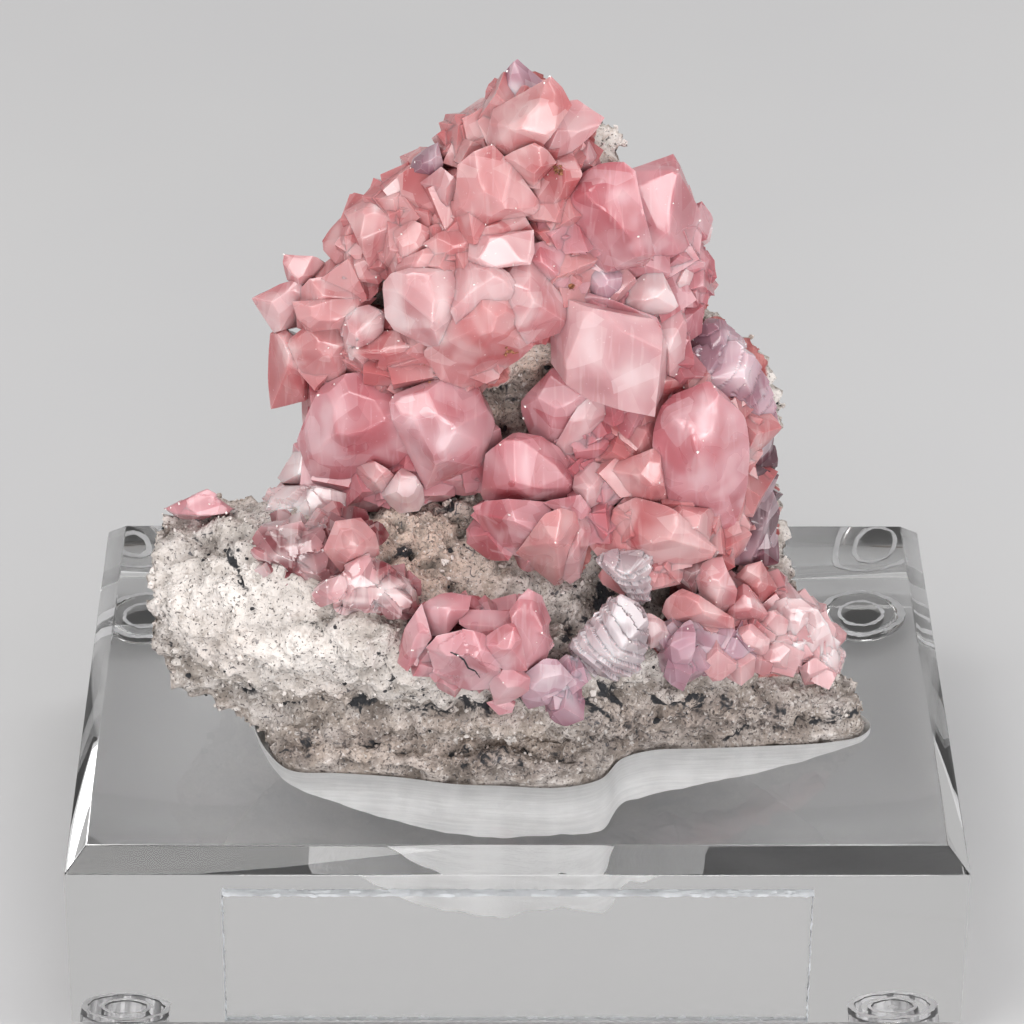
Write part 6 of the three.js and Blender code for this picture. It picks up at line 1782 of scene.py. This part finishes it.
def build_dust(crystals):
    """White grains lying on the crystals, joined in one mesh."""
    rng = np.random.default_rng(23)
    points = []
    faces = []
    shape, sides = knob_shape()
    for crystal in crystals:
        places = vertex_array(crystal.data)
        normals = normal_array(crystal.data)
        front = np.flatnonzero(normals @ np.array(SIGHT) < -FRONT)
        count = min(DUST_MOST, int(len(front) * DUST_SHARE) + 1)
        for i in rng.choice(front, count, replace=False):
            size = rng.uniform(DUST_LOW, DUST_HIGH)
            form = shape * rng.uniform(0.6, 1.3, (len(shape), 1)) * rng.uniform(0.6, 1.6, 3) * size
            first = len(points)
            points += list(places[i] + (form + normals[i] * size * 0.3) * MM)
            faces += [tuple(first + k for k in side) for side in sides]
    dust = new_object("crystal_dust.grains", mesh_of("crystal_dust.grains", points, faces))
    dust.data.materials.append(
        grain_material("calcite_dust", (226, 216, 212), (252, 248, 246), 0.2, 2, 0.6, (0.5, 0.05)))
    return finish_piece(dust, "matrix_rock", *CRYSTALS)


def build_fills(materials):
    tree = rock_tree()
    rng = np.random.default_rng(11)
    shapes = [seed_shape(rng) for _ in range(SEED_SHAPES)]
    for piece, group, look, count, low, high, ovals in FILLS:
        scatter(piece, group, look, count, low, high, ovals, tree, shapes, materials)


# ---------------------------------------------------------------- floor, light and camera

FLOOR = 1.6                    # metres across
FOCAL_LENGTH = 4646.9          # in pixels of the picture
LENS = SENSOR * FOCAL_LENGTH / PICTURE
CAMERA_PLACE = Vector((-4.22, -380.8, 270.4)) * MM
WORLD_COLOUR = (1, 0.99, 0.985, 1)
WORLD_STRENGTH = 0.49
LIGHT_AIM = (0, 0, 0.045)
# Soft boxes: (place, width, height, watts, colour).
LIGHTS = {
    "key": ((-0.30, -0.28, 0.62), 0.40, 0.40, 2.5, (1, 0.985, 0.97)),
    "front": ((0.06, -0.78, 0.20), 0.60, 0.34, 4.1, (1, 0.99, 0.985)),
    "fill": ((0.55, -0.30, 0.30), 0.40, 0.40, 1.35, (1, 0.99, 0.985)),
    "rim": ((0.20, 0.30, 0.70), 0.40, 0.25, 1.2, (1, 1, 1)),
}


def build_floor():
    half = FLOOR / 2
    corners = [(-half, -half, 0), (half, -half, 0), (half, half, 0), (-half, half, 0)]
    mesh = mesh_of("floor", corners, [(0, 1, 2, 3)])
    floor = new_object("floor", mesh)
    s = Shader("floor_paper")
    tone = s.mix(s.noise(s.place(), 60, 3), srgb(192, 192, 194), srgb(198, 198, 198))
    s.surface(Base_Color=tone, Roughness=0.7)
    mesh.materials.append(s.material)


def softbox(name, place, wide, high, watts, colour):
    light = bpy.data.lights.new(name, "AREA")
    light.shape = "RECTANGLE"
    light.size = wide
    light.size_y = high
    light.energy = watts
    light.color = colour
    lamp = bpy.data.objects.new(name, light)
    lamp.location = place
    lamp.rotation_euler = (Vector(LIGHT_AIM) - Vector(place)).to_track_quat("-Z", "Y").to_euler()
    bpy.context.scene.collection.objects.link(lamp)


def build_light():
    world = bpy.data.worlds.new("studio")
    world.use_nodes = True
    background = world.node_tree.nodes["Background"]
    background.inputs["Color"].default_value = WORLD_COLOUR
    background.inputs["Strength"].default_value = WORLD_STRENGTH
    bpy.context.scene.world = world
    for name, light in LIGHTS.items():
        softbox(name, *light)


def build_camera():
    camera = bpy.data.cameras.new("camera")
    camera.lens = LENS
    camera.sensor_width = SENSOR
    camera.clip_start = 0.05
    camera.clip_end = 10
    stand = bpy.data.objects.new("camera", camera)
    turn = Matrix((SHEET_ACROSS, SHEET_UP, -SIGHT)).transposed().to_4x4()
    stand.matrix_world = Matrix.Translation(CAMERA_PLACE) @ turn
    bpy.context.scene.collection.objects.link(stand)
    bpy.context.scene.camera = stand


build_holder()
build_rock()
crystals, crystal_materials = build_crystals()
build_fills(crystal_materials)
build_dust(crystals)
build_crack(crystals)
build_rust(crystals)
build_floor()
build_light()
build_camera()
bpy.context.scene.view_settings.view_transform = "Standard"
